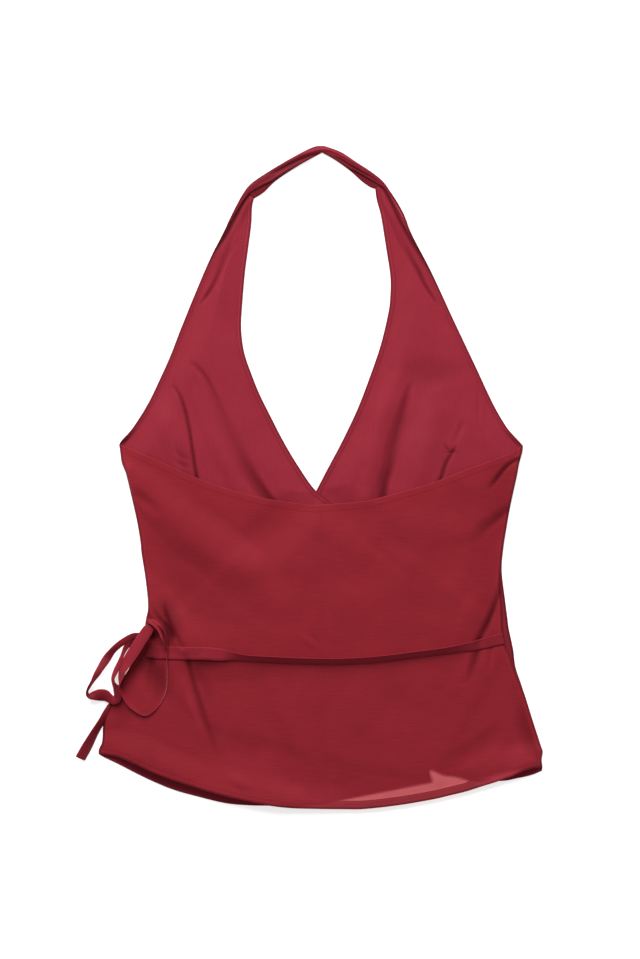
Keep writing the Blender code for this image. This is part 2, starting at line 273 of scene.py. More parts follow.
# ---------------------------------------------------------------------------------------------
# Meshes
# ---------------------------------------------------------------------------------------------
def grid_faces(rows: int, columns: int, wrap: bool = False) -> Array:
    """Corners of the quads of a grid of points, wound to face along the cross product of its
    column and row directions.

    Args:
        rows: Rows of points.
        columns: Points in a row.
        wrap: Whether each row closes on itself.

    Returns:
        One row of four corners for each quad.
    """
    index = np.arange(rows * columns).reshape(rows, columns)
    if wrap:
        index = np.hstack([index, index[:, :1]])
    return np.stack(
        [index[:-1, :-1], index[:-1, 1:], index[1:, 1:], index[1:, :-1]], -1
    ).reshape(-1, 4)


def joined(parts: Sequence[tuple[Array, Array]]) -> tuple[Array, Array]:
    """The points and the faces of several meshes as those of one."""
    starts = np.cumsum([0] + [len(points) for points, _ in parts])
    faces = [quads + start for (_, quads), start in zip(parts, starts)]
    return np.vstack([points for points, _ in parts]), np.vstack(faces)


def new_object(name: str, data: bpy.types.ID) -> bpy.types.Object:
    """An object for a mesh, a camera or a light, linked to the scene."""
    made = bpy.data.objects.new(name, data)
    bpy.context.scene.collection.objects.link(made)
    return made


def make_mesh(
    name: str,
    points: Array,
    faces: Array,
    material: bpy.types.Material,
    grain: Array | None = None,
    plies: Array | None = None,
    shade: Array | None = None,
) -> bpy.types.Object:
    """An object from points in millimetres and quads.

    Args:
        name: Name of the object.
        points: Array of x, y and z, of any shape before its last axis.
        faces: Four corners for each quad.
        material: Its material.
        grain: Place of each point in the cloth's own plane, across and along the grain, in
            millimetres. It becomes the UV map that the weave follows.
        plies: For each point, 1 where painted light comes through a single ply, 0 where the cloth
            is backed, and below 0 where more plies lie under it and it gets painted shade.
        shade: For each point, its painted shade: up to 1 deep in a crease, and below 0 a painted
            highlight where it catches the light.

    Returns:
        The object, linked to the scene.
    """
    flat = np.ascontiguousarray(points.reshape(-1, 3) * MM, np.float32)
    mesh = bpy.data.meshes.new(name)
    mesh.vertices.add(len(flat))
    mesh.vertices.foreach_set("co", flat.ravel())
    mesh.loops.add(faces.size)
    mesh.loops.foreach_set("vertex_index", faces.ravel().astype(np.int32))
    mesh.polygons.add(len(faces))
    mesh.polygons.foreach_set("loop_start", np.arange(0, faces.size, 4, dtype=np.int32))
    mesh.polygons.foreach_set("use_smooth", np.ones(len(faces), bool))
    place = flat[:, :2] if grain is None else grain.reshape(-1, 2) * MM
    uv = mesh.uv_layers.new(name="grain")
    uv.data.foreach_set("uv", place[faces.ravel()].astype(np.float32).ravel())
    for label, values in (("plies", plies), ("shade", shade)):
        layer = mesh.attributes.new(label, "FLOAT", "POINT")
        values = np.zeros(len(flat)) if values is None else values.ravel()
        layer.data.foreach_set("value", values.astype(np.float32))
    mesh.update(calc_edges=True)
    mesh.validate()
    mesh.materials.append(material)
    return new_object(name, mesh)


def give_wall(piece: bpy.types.Object, wall: float) -> None:
    """Gives an open sheet its thickness, in millimetres, above its points."""
    solidify = piece.modifiers.new("wall", "SOLIDIFY")
    solidify.thickness = wall * MM
    solidify.offset = 1.0


def turned(plan: Array, degrees: float) -> Array:
    """The points of a plan in the axes of a grain that is turned this far from the table's."""
    angle = math.radians(degrees)
    return plan @ np.array([[math.cos(angle), -math.sin(angle)], [math.sin(angle), math.cos(angle)]])


def declare(
    piece: bpy.types.Object, node: str | None
) -> bpy.types.Object:
    """Hangs a piece of cloth on the body and hides the solid that it replaces.

    Args:
        piece: The piece. It rides on the body.
        node: Name of the node whose solid it replaces, or None for a further stretch of the ties.

    Returns:
        The piece.
    """
    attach(piece, "root")
    if node:
        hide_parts(node)
    return piece


# ---------------------------------------------------------------------------------------------
# Materials
# ---------------------------------------------------------------------------------------------
def linear(code: str) -> tuple[float, float, float, float]:
    """A colour for a shader from its sRGB hex code: each channel through the sRGB curve."""
    values = [int(code[k : k + 2], 16) / 255 for k in (1, 3, 5)]
    red, green, blue = (
        v / 12.92 if v <= 0.04045 else ((v + 0.055) / 1.055) ** 2.4 for v in values
    )
    return red, green, blue, 1.0


def add_node(
    tree: bpy.types.NodeTree,
    kind: str,
    settings: dict[str, object] | None = None,
    inputs: dict[str | int, object] | None = None,
) -> bpy.types.Node:
    """Adds a shader node.

    Args:
        tree: The node tree.
        kind: Its type, without the ShaderNode that it starts with.
        settings: Properties of the node.
        inputs: For each socket, its value, or the socket that is linked to it.

    Returns:
        The node.
    """
    node = tree.nodes.new("ShaderNode" + kind)
    for key, value in (settings or {}).items():
        setattr(node, key, value)
    for key, value in (inputs or {}).items():
        if isinstance(value, bpy.types.NodeSocket):
            tree.links.new(value, node.inputs[key])
        else:
            node.inputs[key].default_value = value
    return node


def mix(
    tree: bpy.types.NodeTree, share: object, first: object, second: object, blend: str = "MIX"
) -> bpy.types.NodeSocket:
    """Mixes two colours.

    Args:
        tree: The node tree.
        share: How much of the second one there is, 0 to 1.
        first: A colour, or the socket that gives it.
        second: Another.
        blend: How the second is laid over the first.

    Returns:
        The socket of the result.
    """
    settings = {"data_type": "RGBA", "blend_type": blend}
    return add_node(tree, "Mix", settings, {0: share, 6: first, 7: second}).outputs[2]


def remap(
    tree: bpy.types.NodeTree, value: bpy.types.NodeSocket, source: tuple[float, float],
    target: tuple[float, float] = (0.0, 1.0), clamp: bool = True,
) -> bpy.types.NodeSocket:
    """Carries a value from one range over to another.

    Args:
        tree: The node tree.
        value: The socket that gives it.
        source: The range that it comes from.
        target: The range that it goes to.
        clamp: Whether it is kept inside the target.

    Returns:
        The socket of the result.
    """
    ends = dict(zip(("From Min", "From Max", "To Min", "To Max"), (*source, *target)))
    return add_node(tree, "MapRange", {"clamp": clamp}, {"Value": value, **ends}).outputs[0]


def new_material(name: str) -> tuple[bpy.types.Material, bpy.types.NodeTree]:
    """A material with no nodes yet, and its tree."""
    material = bpy.data.materials.new(name)
    material.use_nodes = True
    material.node_tree.nodes.clear()
    return material, material.node_tree


def give_surface(tree: bpy.types.NodeTree, inputs: dict[str | int, object]) -> None:
    """Ends a material's tree with a surface that has these inputs."""
    shader = add_node(tree, "BsdfPrincipled", None, inputs)
    add_node(tree, "OutputMaterial", None, {"Surface": shader.outputs[0]})


@dataclass(frozen=True)
class SlubWeave:
    """Plain weave of viscose spun with slubs, piece dyed. Thicker stretches of yarn give it short
    level streaks, it is matt with a faint sheen, and a single ply lets some light through.

    The real threads are about 0.3 mm apart, finer than a view of the whole garment shows, so the
    yarns are drawn at yarn_mm, as uneven streaks.
    """

    name: str
    cloth: str
    deep: str
    lit_through: str
    # Painted shade: the colour that the shade attribute mixes in at creases, hollows, rims and under the
    # ties
    painted_shade: str = "#520812"
    # Painted highlight: the colour that a shade below 0 mixes in where the cloth catches the light
    painted_highlight: str = "#e0707c"
    fuzz: str = "#f0b8bc"
    yarn_mm: float = 1.3
    slub_mm: float = 22.0
    patch_mm: tuple[float, float] = (70.0, 45.0)
    weft: float = 0.5
    warp: float = 0.3
    patches: float = 0.5
    roughness: float = 0.55
    specular: float = 0.1
    sheen: float = 0.05
    bump_mm: float = 0.05

    def material(self) -> bpy.types.Material:
        """Builds the material: streaks of weft and warp yarns and wide soft patches mix the two
        colours, the plies attribute paints the light that comes through a single ply and the shade
        where more plies lie under it, the shade attribute paints shade in hollows and highlights on
        lit ridges, and the yarns give its bump."""
        material, tree = new_material(self.name)
        place = add_node(tree, "UVMap", {"uv_map": "grain"}).outputs[0]

        def streaks(
            length_mm: float, width_mm: float, level: bool, detail: float
        ) -> bpy.types.NodeSocket:
            """Noise drawn out along the weft where level, or else along the warp."""
            along, across = 1 / (length_mm * MM), 1 / (width_mm * MM)
            scale = (along, across, 1.0) if level else (across, along, 1.0)
            drawn_out = add_node(tree, "Mapping", None, {0: place, "Scale": scale})
            noise = add_node(
                tree, "TexNoise", {"noise_dimensions": "2D"},
                {"Vector": drawn_out.outputs[0], "Scale": 1.0, "Detail": detail, "Roughness": 0.55},
            )
            return noise.outputs["Fac"]

        def spread(value: bpy.types.NodeSocket, strength: float) -> bpy.types.NodeSocket:
            """Centres a pattern on 0 and scales it."""
            return remap(tree, value, (0.3, 0.7), (-strength, strength), clamp=False)

        def add(first: object, second: object) -> bpy.types.NodeSocket:
            """Adds two patterns."""
            return add_node(tree, "Math", {"operation": "ADD"}, {0: first, 1: second}).outputs[0]

        weft = spread(streaks(self.slub_mm, self.yarn_mm, True, 1.5), self.weft)
        warp = spread(streaks(self.slub_mm * 0.8, self.yarn_mm, False, 1.5), self.warp)
        patch = spread(streaks(*self.patch_mm, True, 2.0), self.patches)
        yarns = add(weft, warp)
        tone = remap(tree, add(yarns, patch), (-1.0, 1.0))
        colour = mix(tree, tone, linear(self.deep), linear(self.cloth))
        plies = add_node(tree, "Attribute", {"attribute_name": "plies"}).outputs["Fac"]
        colour = mix(tree, 1.0, colour, remap(tree, plies, (-1.0, 0.0), (0.8, 1.0)), "MULTIPLY")
        colour = mix(tree, remap(tree, plies, (0.0, 1.0)), colour, linear(self.lit_through))
        # The shade attribute paints shade into the colour above 0 and a highlight below 0
        crease = add_node(tree, "Attribute", {"attribute_name": "shade"}).outputs["Fac"]
        colour = mix(tree, remap(tree, crease, (0.0, -1.0)), colour, linear(self.painted_highlight))
        colour = mix(tree, crease, colour, linear(self.painted_shade))
        bump = add_node(
            tree, "Bump", None, {"Strength": 1.0, "Distance": self.bump_mm * MM, "Height": yarns}
        )
        give_surface(tree, {
            "Base Color": colour, "Roughness": self.roughness, "IOR": 1.5,
            "Specular IOR Level": self.specular, "Sheen Weight": self.sheen,
            "Sheen Roughness": 0.45, "Sheen Tint": linear(self.fuzz), "Normal": bump.outputs[0],
        })
        return material


@dataclass(frozen=True)
class SewingThread:
    """Spun polyester thread in the colour of the cloth."""

    name: str = "polyester_sewing_thread"
    colour: str = "#a3263a"
    shaded: str = "#8e1f30"
    roughness: float = 0.65
    twist_mm: float = 0.5

    def material(self) -> bpy.types.Material:
        """Builds the material: fine bands along the stitch stand for the twist of its plies."""
        material, tree = new_material(self.name)
        place = add_node(tree, "TexCoord").outputs["Object"]
        noise = add_node(
            tree, "TexNoise", None, {"Vector": place, "Scale": 1 / (self.twist_mm * MM), "Detail": 1.0}
        )
        colour = mix(tree, noise.outputs["Fac"], linear(self.shaded), linear(self.colour))
        give_surface(tree, {
            "Base Color": colour, "Roughness": self.roughness, "IOR": 1.5, "Specular IOR Level": 0.2,
        })
        return material


class Finish(Enum):
    """The finishes of the garment, by the cloth that they dress."""

    FRONT = SlubWeave(
        "viscose_slub_weave_wrong_side", cloth="#a72e3f", deep="#982736", lit_through="#b84c59",
        weft=0.12, warp=0.3, patches=0.3,
    )
    BACK = SlubWeave(
        "viscose_slub_weave_right_side", cloth="#a22935", deep="#91222d", lit_through="#dc676d",
        # The back's painted highlight colour is redder
        painted_highlight="#d8485a", weft=0.32, warp=0.12, patches=0.25,
    )
    TIE = SlubWeave(
        "viscose_slub_weave_ties", cloth="#a42b3a", deep="#932431", lit_through="#b84c59",
        yarn_mm=1.0, slub_mm=12.0, weft=0.15, warp=0.3, patches=0.2,
    )
    THREAD = SewingThread()


MATERIALS: dict[Finish, bpy.types.Material] = {}


# ---------------------------------------------------------------------------------------------
# Panels
# ---------------------------------------------------------------------------------------------
@dataclass(frozen=True)
class Edge:
    """One edge of a panel, as smooth stretches that meet at corners. Each stretch is the share of
    the edge at which it ends, and its outline."""

    stretches: tuple[tuple[float, Rows], ...]

    def at(self, shares: Array) -> Array:
        """The points at these shares of the edge."""
        found = np.empty(shares.shape + (2,))
        start = 0.0
        for end, rows in self.stretches:
            here = (shares >= start - 1e-9) & (shares <= end + 1e-9)
            found[here] = at_share(smooth(rows), (shares[here] - start) / (end - start))
            start = end
        return found

    def path(self) -> Array:
        """All its stretches as one path."""
        return np.vstack([smooth(rows) for _, rows in self.stretches])

    def flipped(self) -> Edge:
        """The same edge, run the other way."""
        ends = [0.0] + [end for end, _ in self.stretches]
        backwards = [(1.0 - end, tuple(rows)[::-1]) for end, (_, rows) in zip(ends, self.stretches)]
        return Edge(tuple(backwards[::-1]))


def graded(count: int, fine: int, reach: Array) -> Array:
    """Shares from 0 to 1 that lie closer together near both ends.

    Args:
        count: Steps in all.
        fine: Steps inside the reach of each end.
        reach: The share that the fine steps take at each end, one for each row.

    Returns:
        One row of count + 1 shares for each reach.
    """
    reach = np.atleast_1d(reach)[:, None]
    ends = np.linspace(0, 1, fine + 1)[None, :]
    middle = np.linspace(0, 1, count - 2 * fine + 1)[None, 1:-1]
    return np.hstack([ends * reach, reach + middle * (1 - 2 * reach), 1 - ends[:, ::-1] * reach])


@dataclass(frozen=True)
class Panel:
    """A cut of cloth between four edges, laid out as a grid: the Coons patch, which adds the blend
    of its two sides to that of its two ends and takes off the blend of its corners."""

    left: Edge  # from the bottom to the top
    right: Edge
    bottom: Edge  # from the left to the right
    top: Edge
    columns: int
    rows: int
    fine: int = 12
    reach: float = 9.0

    def plan(self) -> Array:
        """The grid's points on the table, as rows from the bottom up."""
        length = lengths_along(self.left.path())[-1]
        v = graded(self.rows, self.fine, np.array(min(self.reach / length, 0.3)))[0]
        left, right = self.left.at(v), self.right.at(v)
        width = np.linalg.norm(right - left, axis=1)
        u = graded(self.columns, self.fine, np.minimum(self.reach / width, 0.35))
        u, v = u[..., None], v[:, None, None]
        bottom, top = self.bottom.at(u[..., 0]), self.top.at(u[..., 0])
        corner = np.array([0.0, 1.0])
        (low_left, low_right), (high_left, high_right) = self.bottom.at(corner), self.top.at(corner)
        sides = left[:, None] * (1 - u) + right[:, None] * u
        ends = bottom * (1 - v) + top * v
        corners = (
            low_left * (1 - u) * (1 - v) + low_right * u * (1 - v)
            + high_left * (1 - u) * v + high_right * u * v
        )
        return sides + ends - corners

    def outline(self) -> Array:
        """Its closed outline."""
        return np.vstack([
            self.bottom.path(), self.right.path(), self.top.path()[::-1], self.left.path()[::-1],
        ])


STITCH_INSET = 0.8  # of a row of stitches from the hem's inner edge
STITCH_REACH = 1.7  # of the shade on either side of it
RIM_WIDTH = 1.7  # of an edge that turns down to the table
RIM_SHADE, FOLD_LIGHT, STITCH_SHADE = 0.42, 0.09, 0.13  # how much darker or lighter each looks


@dataclass(frozen=True)
class Hem:
    """A hem along an edge. Turned to the side that shows, it stands up as a band that ends in a
    step. Turned under, its thickness shows softly, with the row of stitches pressed in."""

    edge: Array
    width: float
    rise: float = 0.45
    shows: bool = True
    pull: float = 0.22  # depth of the groove of stitches
    groove: float = 1.1  # half its width
    uneven: float = 0.35
    pull_waves: tuple[float, float] = (2.1, 7.3)  # how fast its depth changes along the hem
    crisp_step: float = 0.9
    soft_step: float = 2.2
    lip: float = 1.3

    def lift(self, points: Array) -> Array:
        """Height of the hem at each point: the band, less the groove of its stitches, which is
        uneven along the hem because each stitch pulls the cloth in."""
        distance, _, share = near_path(points, self.edge)
        step = self.crisp_step if self.shows else self.soft_step
        band = self.rise * (1 - smoothstep((distance - self.width) / step + 0.5))
        lip = -0.5 * self.rise * (1 - smoothstep(distance / self.lip))
        along = share * lengths_along(self.edge)[-1]
        fast, slow = self.pull_waves
        uneven = 1 + self.uneven * np.sin(along / fast) * np.sin(along / slow + 1.0)
        groove = np.clip(1 - ((distance - self.width + STITCH_INSET) / self.groove) ** 2, 0, None)
        return band + lip - self.pull * uneven * groove


def rim_shade(points: Array, edges: Sequence[Rows]) -> Array:
    """Shade of the outermost two or three millimetres of a panel, which turn down to the table,
    less the light on the rounded fold of the hem just inside them."""
    inward = distance_to(points, *edges)
    rim = RIM_SHADE * (1 - smoothstep(inward - RIM_WIDTH))
    return rim - FOLD_LIGHT * np.clip(1 - (inward - 2 * RIM_WIDTH) ** 2, 0, None)


def stitch_shade(points: Array, edge: Rows, width: float) -> Array:
    """Shade of the shallow valley that a hem's row of stitches pulls into the cloth."""
    off = distance_to(points, edge) - width
    return STITCH_SHADE * np.clip(1 - (off / STITCH_REACH) ** 2, 0, None)


# Corners of the pattern pieces as they lie, x and y
BAND_LEFT_OUTER, BAND_LEFT_INNER = (-71.0, 302.6), (-60.0, 298.0)
BAND_RIGHT_OUTER, BAND_RIGHT_INNER = (78.0, 314.6), (69.4, 308.4)
UNDERARM_LEFT, UNDERARM_RIGHT = (-203.6, 35.6), (226.8, 34.4)
HEM_LEFT, HEM_RIGHT = (-225.4, -295.2), (247.3, -313.0)
BACK_HEM_RIGHT = (246.5, -308.5)
BACK_TOP_MIDDLE, BACK_HEM_MIDDLE = (3.0, -29.8), (9.0, -352.9)
INNER_TIE_CORNER, OUTER_TIE_CORNER = (202.0, -172.0), (-164.0, -182.0)
INNER_HEM_CORNER, OUTER_HEM_CORNER = (129.0, -324.0), (-107.0, -255.0)

# Edges between those corners, from the neck end down
ARMHOLE_LEFT = (
    BAND_LEFT_OUTER, (-81, 284.5), (-94.4, 257.6), (-107.3, 232), (-123.7, 193.6), (-139.2, 155.2),
    (-149.1, 129.6), (-160.6, 104), (-173.1, 78.3), (-189.3, 52.7), (-200.4, 40.2), UNDERARM_LEFT,
)
ARMHOLE_RIGHT = (
    BAND_RIGHT_OUTER, (86.6, 302.6), (94, 291), (99.5, 281), (109.3, 257.6), (129.2, 219.2), (152.9, 168),
    (177.1, 116.8), (188.9, 91.2), (198.5, 72), (210.2, 52.7), (221.6, 39.9), UNDERARM_RIGHT,
)
SIDE_LEFT = (
    UNDERARM_LEFT, (-202.4, 28), (-200.7, 16), (-196.2, 4), (-191.6, -15), (-184.8, -45), (-181, -67),
    (-179.6, -81), (-175.8, -105), (-173.1, -128), (-172.8, -141), (-175, -152), (-178, -174),
    (-183.6, -186), (-192.4, -203), (-197.6, -211), (-203, -219), (-208, -230), (-213.4, -242),
    (-220, -259), (-221.5, -281), (-225, -290), HEM_LEFT,
)
SIDE_RIGHT = (
    UNDERARM_RIGHT, (226, 27), (222.6, 14.2), (219.9, 0), (213.5, -29.5), (209, -55.1), (205.4, -82),
    (204.4, -95), (204.9, -107), (208.1, -132), (210.4, -150), (212, -162), (216.5, -183.2), (219, -202),
    (225.5, -221.6), (233.6, -247.2), (240.6, -272), (246, -286), (248.2, -292), (247, -301),
    (247.8, -308), HEM_RIGHT,
)
# The back's right side seam lies up to 6 mm inside the outline at the waist
SEAM_RIGHT = (
    UNDERARM_RIGHT, (226, 27), (222.6, 14.2), (219.9, 0), (213.5, -29.5), (209, -55.1), (204.9, -82),
    (202.6, -112), (204.5, -137), (205, -160), (207, -177), (213, -190), (217.5, -203), (221, -213),
    (228, -230), (236.5, -257), (245.8, -286), (247.8, -292), (246.6, -301), BACK_HEM_RIGHT,
)
NECK_INNER = (
    BAND_LEFT_INNER, (-62, 288), (-62.8, 270.4), (-66.1, 244.8), (-69.5, 219.2), (-72.3, 187), (-73.7, 162),
    (-72.1, 142.4), (-69.4, 129.6), (-65.1, 116.8), (-55, 91), (-42.5, 65.5), (-29.3, 39.9), (-14.2, 14.2),
    (3.5, -11.5), (17, -22.5), (80, -75), (145, -125), INNER_TIE_CORNER,
)
NECK_OUTER = (
    BAND_RIGHT_INNER, (71, 296), (75.5, 279), (81, 245), (85.5, 215), (85.5, 194), (83.5, 176),
    (75.5, 142), (64, 108), (51, 74), (35, 40), (17, 6), (6.5, -14), (0, -24), (-55, -75), (-112, -132),
    OUTER_TIE_CORNER,
)
HEM_INNER = (
    HEM_LEFT, (-218.9, -299.1), (-202.9, -306.8), (-186.9, -315.1), (-168, -324.2), (-146, -333.2),
    (-122.9, -339.8), (-90.9, -347.5), (-66, -349.9), (-43, -350.4), (-26, -351), (20, -345),
    INNER_HEM_CORNER,
)
HEM_OUTER = (
    OUTER_HEM_CORNER, (0, -284), (90, -304), (127, -310.4), (142, -316.2), (157, -318.4), (172, -322.2),
    (203, -324), (222, -320.8), (236, -317.6), HEM_RIGHT,
)
HEM_BACK_LEFT = (
    HEM_LEFT, (-212, -296.4), (-200, -299.2), (-183, -306.6), (-166, -314.6), (-137, -325.1), (-96, -337.6),
    (-54, -347), (-23, -351.6), BACK_HEM_MIDDLE,
)
HEM_BACK_RIGHT = (
    BACK_HEM_MIDDLE, (37, -353.3), (58, -353.1), (96, -348.8), (130, -343), (149, -338.6), (166, -334.4),
    (182, -329.2), (199, -323.8), (214, -318.2), (228, -312.0), (238, -309.6), BACK_HEM_RIGHT,
)
TOP_BACK_LEFT = (
    UNDERARM_LEFT, (-178, 25), (-152, 13.4), (-122, 0), (-90, -11.4), (-55, -21), (-28, -25.6),
    BACK_TOP_MIDDLE,
)
TOP_BACK_RIGHT = (
    BACK_TOP_MIDDLE, (55, -25.6), (76, -21), (99, -15), (134, -4.3), (161, 6.3), (187, 16), (214, 26),
    UNDERARM_RIGHT,
)
TOP_BACK = TOP_BACK_LEFT[:-1] + TOP_BACK_RIGHT
HEM_BACK = HEM_BACK_LEFT[:-1] + HEM_BACK_RIGHT
BACK_SEAM = np.array([BACK_TOP_MIDDLE, BACK_HEM_MIDDLE])
BAND_OUTER = (
    BAND_LEFT_OUTER, (-62.5, 313), (-46, 324.5), (-22.4, 338.6), (1.4, 351), (12.6, 353), (22, 350.7),
    (34.4, 345.6), (48.7, 336), (66.4, 324.4), BAND_RIGHT_OUTER,
)
BAND_INNER = (
    (BAND_LEFT_INNER, (-49.6, 304.6), (-36.7, 317), (-12.2, 333.3), (12.8, 347.2)),
    ((12.8, 347.2), (27, 339), (43.2, 327.2), (55.5, 316.2), (64.3, 310.1), BAND_RIGHT_INNER),
)
# The band's upper ply runs on a little way down both armhole edges
STRIP_OUTER = (
    (-90, 266.3), (-81, 284.5), *BAND_OUTER, (86.6, 302.6), (94, 291), (99.5, 281), (103.9, 270),
)
STRIP_INNER = (
    ((-89, 266.6), (-78.6, 283), (-73.4, 291.6), (-69, 298), (-65.6, 302.6)),
    ((-65.6, 302.6), (-58, 307.2), (-51.4, 310.9), (-45, 314.3), (-38.6, 317.8), (-32.2, 322),
     (-12.2, 333.3), (12.8, 347.2)),
    ((12.8, 347.2), (27, 339), (40, 330.8), (45.5, 328), (51, 325.2), (57.4, 321.6), (63.8, 317.8),
     (71.5, 313.4)),
    ((71.5, 313.4), (80.3, 306.6), (90.3, 291.3), (98, 277.8), (102.9, 270.2)),
)

# Shares of a front's rows down to its underarm, and down to the tie at its neck edge's end
UNDERARM_SHARE, TIE_SHARE = 0.44, 0.80


@dataclass(frozen=True)
class Pattern:
    """The cut pieces as they lie on the table."""

    inner_front: Panel
    outer_front: Panel
    back_left: Panel
    back_right: Panel
    strip: Panel
    under_strip: Panel

    @staticmethod
    def laid_out() -> Pattern:
        """Works out the pieces from their edges."""
        inner_free = (INNER_TIE_CORNER, (164, -240), (134, -294), (126.6, -310.6), INNER_HEM_CORNER)
        outer_free = (OUTER_TIE_CORNER, (-138, -221), OUTER_HEM_CORNER)
        inner = Panel(
            left=Edge(((UNDERARM_SHARE, ARMHOLE_LEFT), (1.0, SIDE_LEFT))).flipped(),
            right=Edge(((TIE_SHARE, NECK_INNER), (1.0, inner_free))).flipped(),
            bottom=Edge(((1.0, HEM_INNER),)),
            top=Edge(((1.0, (BAND_LEFT_OUTER, (-64.8, 304.4), BAND_LEFT_INNER)),)),
            columns=130, rows=290,
        )
        outer = Panel(
            left=Edge(((TIE_SHARE, NECK_OUTER), (1.0, outer_free))).flipped(),
            right=Edge(((UNDERARM_SHARE, ARMHOLE_RIGHT), (1.0, SIDE_RIGHT))).flipped(),
            bottom=Edge(((1.0, HEM_OUTER),)),
            top=Edge(((1.0, (BAND_RIGHT_INNER, (72.2, 313.6), BAND_RIGHT_OUTER)),)),
            columns=130, rows=290,
        )
        middle = Edge(((1.0, (BACK_HEM_MIDDLE, BACK_TOP_MIDDLE)),))
        left = Panel(
            left=Edge(((1.0, SIDE_LEFT),)).flipped(), right=middle,
            bottom=Edge(((1.0, HEM_BACK_LEFT),)), top=Edge(((1.0, TOP_BACK_LEFT),)),
            columns=130, rows=200, fine=14, reach=12.0,
        )
        right = Panel(
            left=middle, right=Edge(((1.0, SEAM_RIGHT),)).flipped(),
            bottom=Edge(((1.0, HEM_BACK_RIGHT),)), top=Edge(((1.0, TOP_BACK_RIGHT),)),
            columns=130, rows=200, fine=14, reach=12.0,
        )
        corners = (0.17, 0.545, 0.82, 1.0)  # shares of the strip at which its inner edge turns
        strip = Panel(
            left=Edge(((1.0, (STRIP_INNER[0][0], STRIP_OUTER[0])),)),
            right=Edge(((1.0, (STRIP_INNER[3][-1], STRIP_OUTER[-1])),)),
            bottom=Edge(tuple(zip(corners, STRIP_INNER))), top=Edge(((1.0, STRIP_OUTER),)),
            columns=300, rows=24, fine=6, reach=2.4,
        )
        halves = (0.56, 1.0)  # shares of the lower ply up to its middle and its end
        hidden = (
            ((-67.5, 304), (-54, 314), (-41, 323.5), (-16, 338.5), (12.8, 350)),
            ((12.8, 350), (29, 344.5), (46, 334), (59, 324), (68, 318), (75, 313.5)),
        )
        under_strip = Panel(
            left=Edge(((1.0, (BAND_INNER[0][0], hidden[0][0])),)),
            right=Edge(((1.0, (BAND_INNER[1][-1], hidden[1][-1])),)),
            bottom=Edge(tuple(zip(halves, BAND_INNER))), top=Edge(tuple(zip(halves, hidden))),
            columns=160, rows=10, fine=3, reach=1.2,
        )
        return Pattern(inner, outer, left, right, strip, under_strip)


# ---------------------------------------------------------------------------------------------
# Folds of the panels, each placed one by one
# ---------------------------------------------------------------------------------------------
# A fold's shade paints shade into the colour along its trough, and below 0 paints a highlight
INNER_FRONT_FOLDS = (
    # The strap: the roll below the band, the dark crease beside it with its shade, and a lower one
    Fold(((-64, 296, 0.5, 5), (-67.5, 290, 0.9, 6), (-79, 269, 1.0, 6, 9), (-88, 253, 1.0, 6, 10),
        (-98.5, 234, 0.8, 6, 10), (-112, 208, 0, 6, 8)), 0.3, 0.2),
    Fold(((-63, 304.5, -0.5, 4), (-67, 299, -0.9, 4.5, 4), (-73, 291, -1, 4.6, 4),
        (-83, 272.4, -1, 4.4, 3.6), (-88.2, 262, -1, 4), (-92.5, 256, -0.9, 5, 4),
        (-98, 248, -0.7, 4.5, 4), (-101.8, 240.5, -0.4, 3.4), (-107, 229.8, -0.3, 3),
        (-122, 198, 0, 3)), 0.2, 0.85),
    Fold(((-72, 293, 0, 3), (-80, 279, -0.1, 3.4, 3), (-85, 271, -0.1, 3.8, 3), (-91, 259, -0.1, 3.8, 3),
        (-98, 247, -0.1, 3.2, 2.8), (-104, 237, -0.05, 2.6), (-110, 222, 0, 2)), 0.0, 0.25),
    Fold(((-77, 258, 0, 5), (-82, 248, -0.5, 5.4), (-86.6, 240.5, -0.9, 5.6), (-92, 229.8, -1.1, 5.4),
        (-102.6, 206, -1.4, 4.4), (-110.3, 193.4, -1.5, 3.6), (-118, 183, 0, 3.5)), 0.4, 0.62),
    # The long valley from the strap to the point of the neck
    Fold(((-130, 124, 0, 4), (-122, 118, -1.2, 4, 5), (-113, 108, -1.8, 4, 5), (-106, 95, -1.8, 5, 6),
        (-96, 70, -1.5, 8, 9), (-83.5, 39, -1.5, 12, 13), (-69, 12, -2.8, 11, 13), (-56, -9, -4.6, 9, 11),
        (-47, -22, -4.6, 9, 11), (-36, -38, -4.6, 9, 11)), 0.35, 0.55),
    # The bust dart and the shade beside it
    Fold(((-148, 100, 0, 3), (-142, 92, -1.6, 3), (-135, 77, -2.6, 3, 3.4), (-129, 52, -3.0, 3),
        (-125, 27, -3.3, 3, 2.8), (-121.6, 4, -3.6, 3.2, 2.8), (-117, -24, -3.6, 4.2, 3.8)), 0.7, 1.05),
    Fold(((-142, 46, 0, 9, 6), (-136, 20, -0.3, 11, 7), (-132, -4, -0.4, 11, 7),
        (-128, -24, -0.3, 11, 7)), 0.0, 0.24),
    # Painted shade in the corner at the underarm, and the shade that spreads from it
    Fold(((-206, 33.5, 0, 1.6), (-198.5, 38, -0.4, 2.8, 2.6), (-191, 45.5, -0.3, 2.2, 1.8),
        (-184, 54, 0, 1.4)), 0.0, 0.75),
    Fold(((-216, 30, 0, 6), (-203, 36, -0.3, 9, 7), (-186, 56, -0.2, 10, 6),
        (-166, 84, 0, 8, 6)), 0.0, 0.3),
    # Two small pulls towards the end of the dart
    Fold(((-146, 32, 0, 3), (-137, 22, -0.9, 3), (-127, 18, 0, 3)), 0.0, 0.12),
    Fold(((-146, 20, 0, 3), (-136, 13, -0.9, 3), (-126, 10, 0, 3)), 0.0, 0.12),
    # Soft rises on either side of the dart
    Fold(((-166, 78, 0, 14), (-150, 52, 1.6, 22, 18), (-140, 20, 2.0, 24, 14), (-134, -20, 1.2, 24, 12))),
    Fold(((-122, 100, 0, 14, 12), (-104, 48, 1.4, 16, 14), (-84, 6, 1.6, 16, 14), (-66, -30, 1, 16, 14))),
)
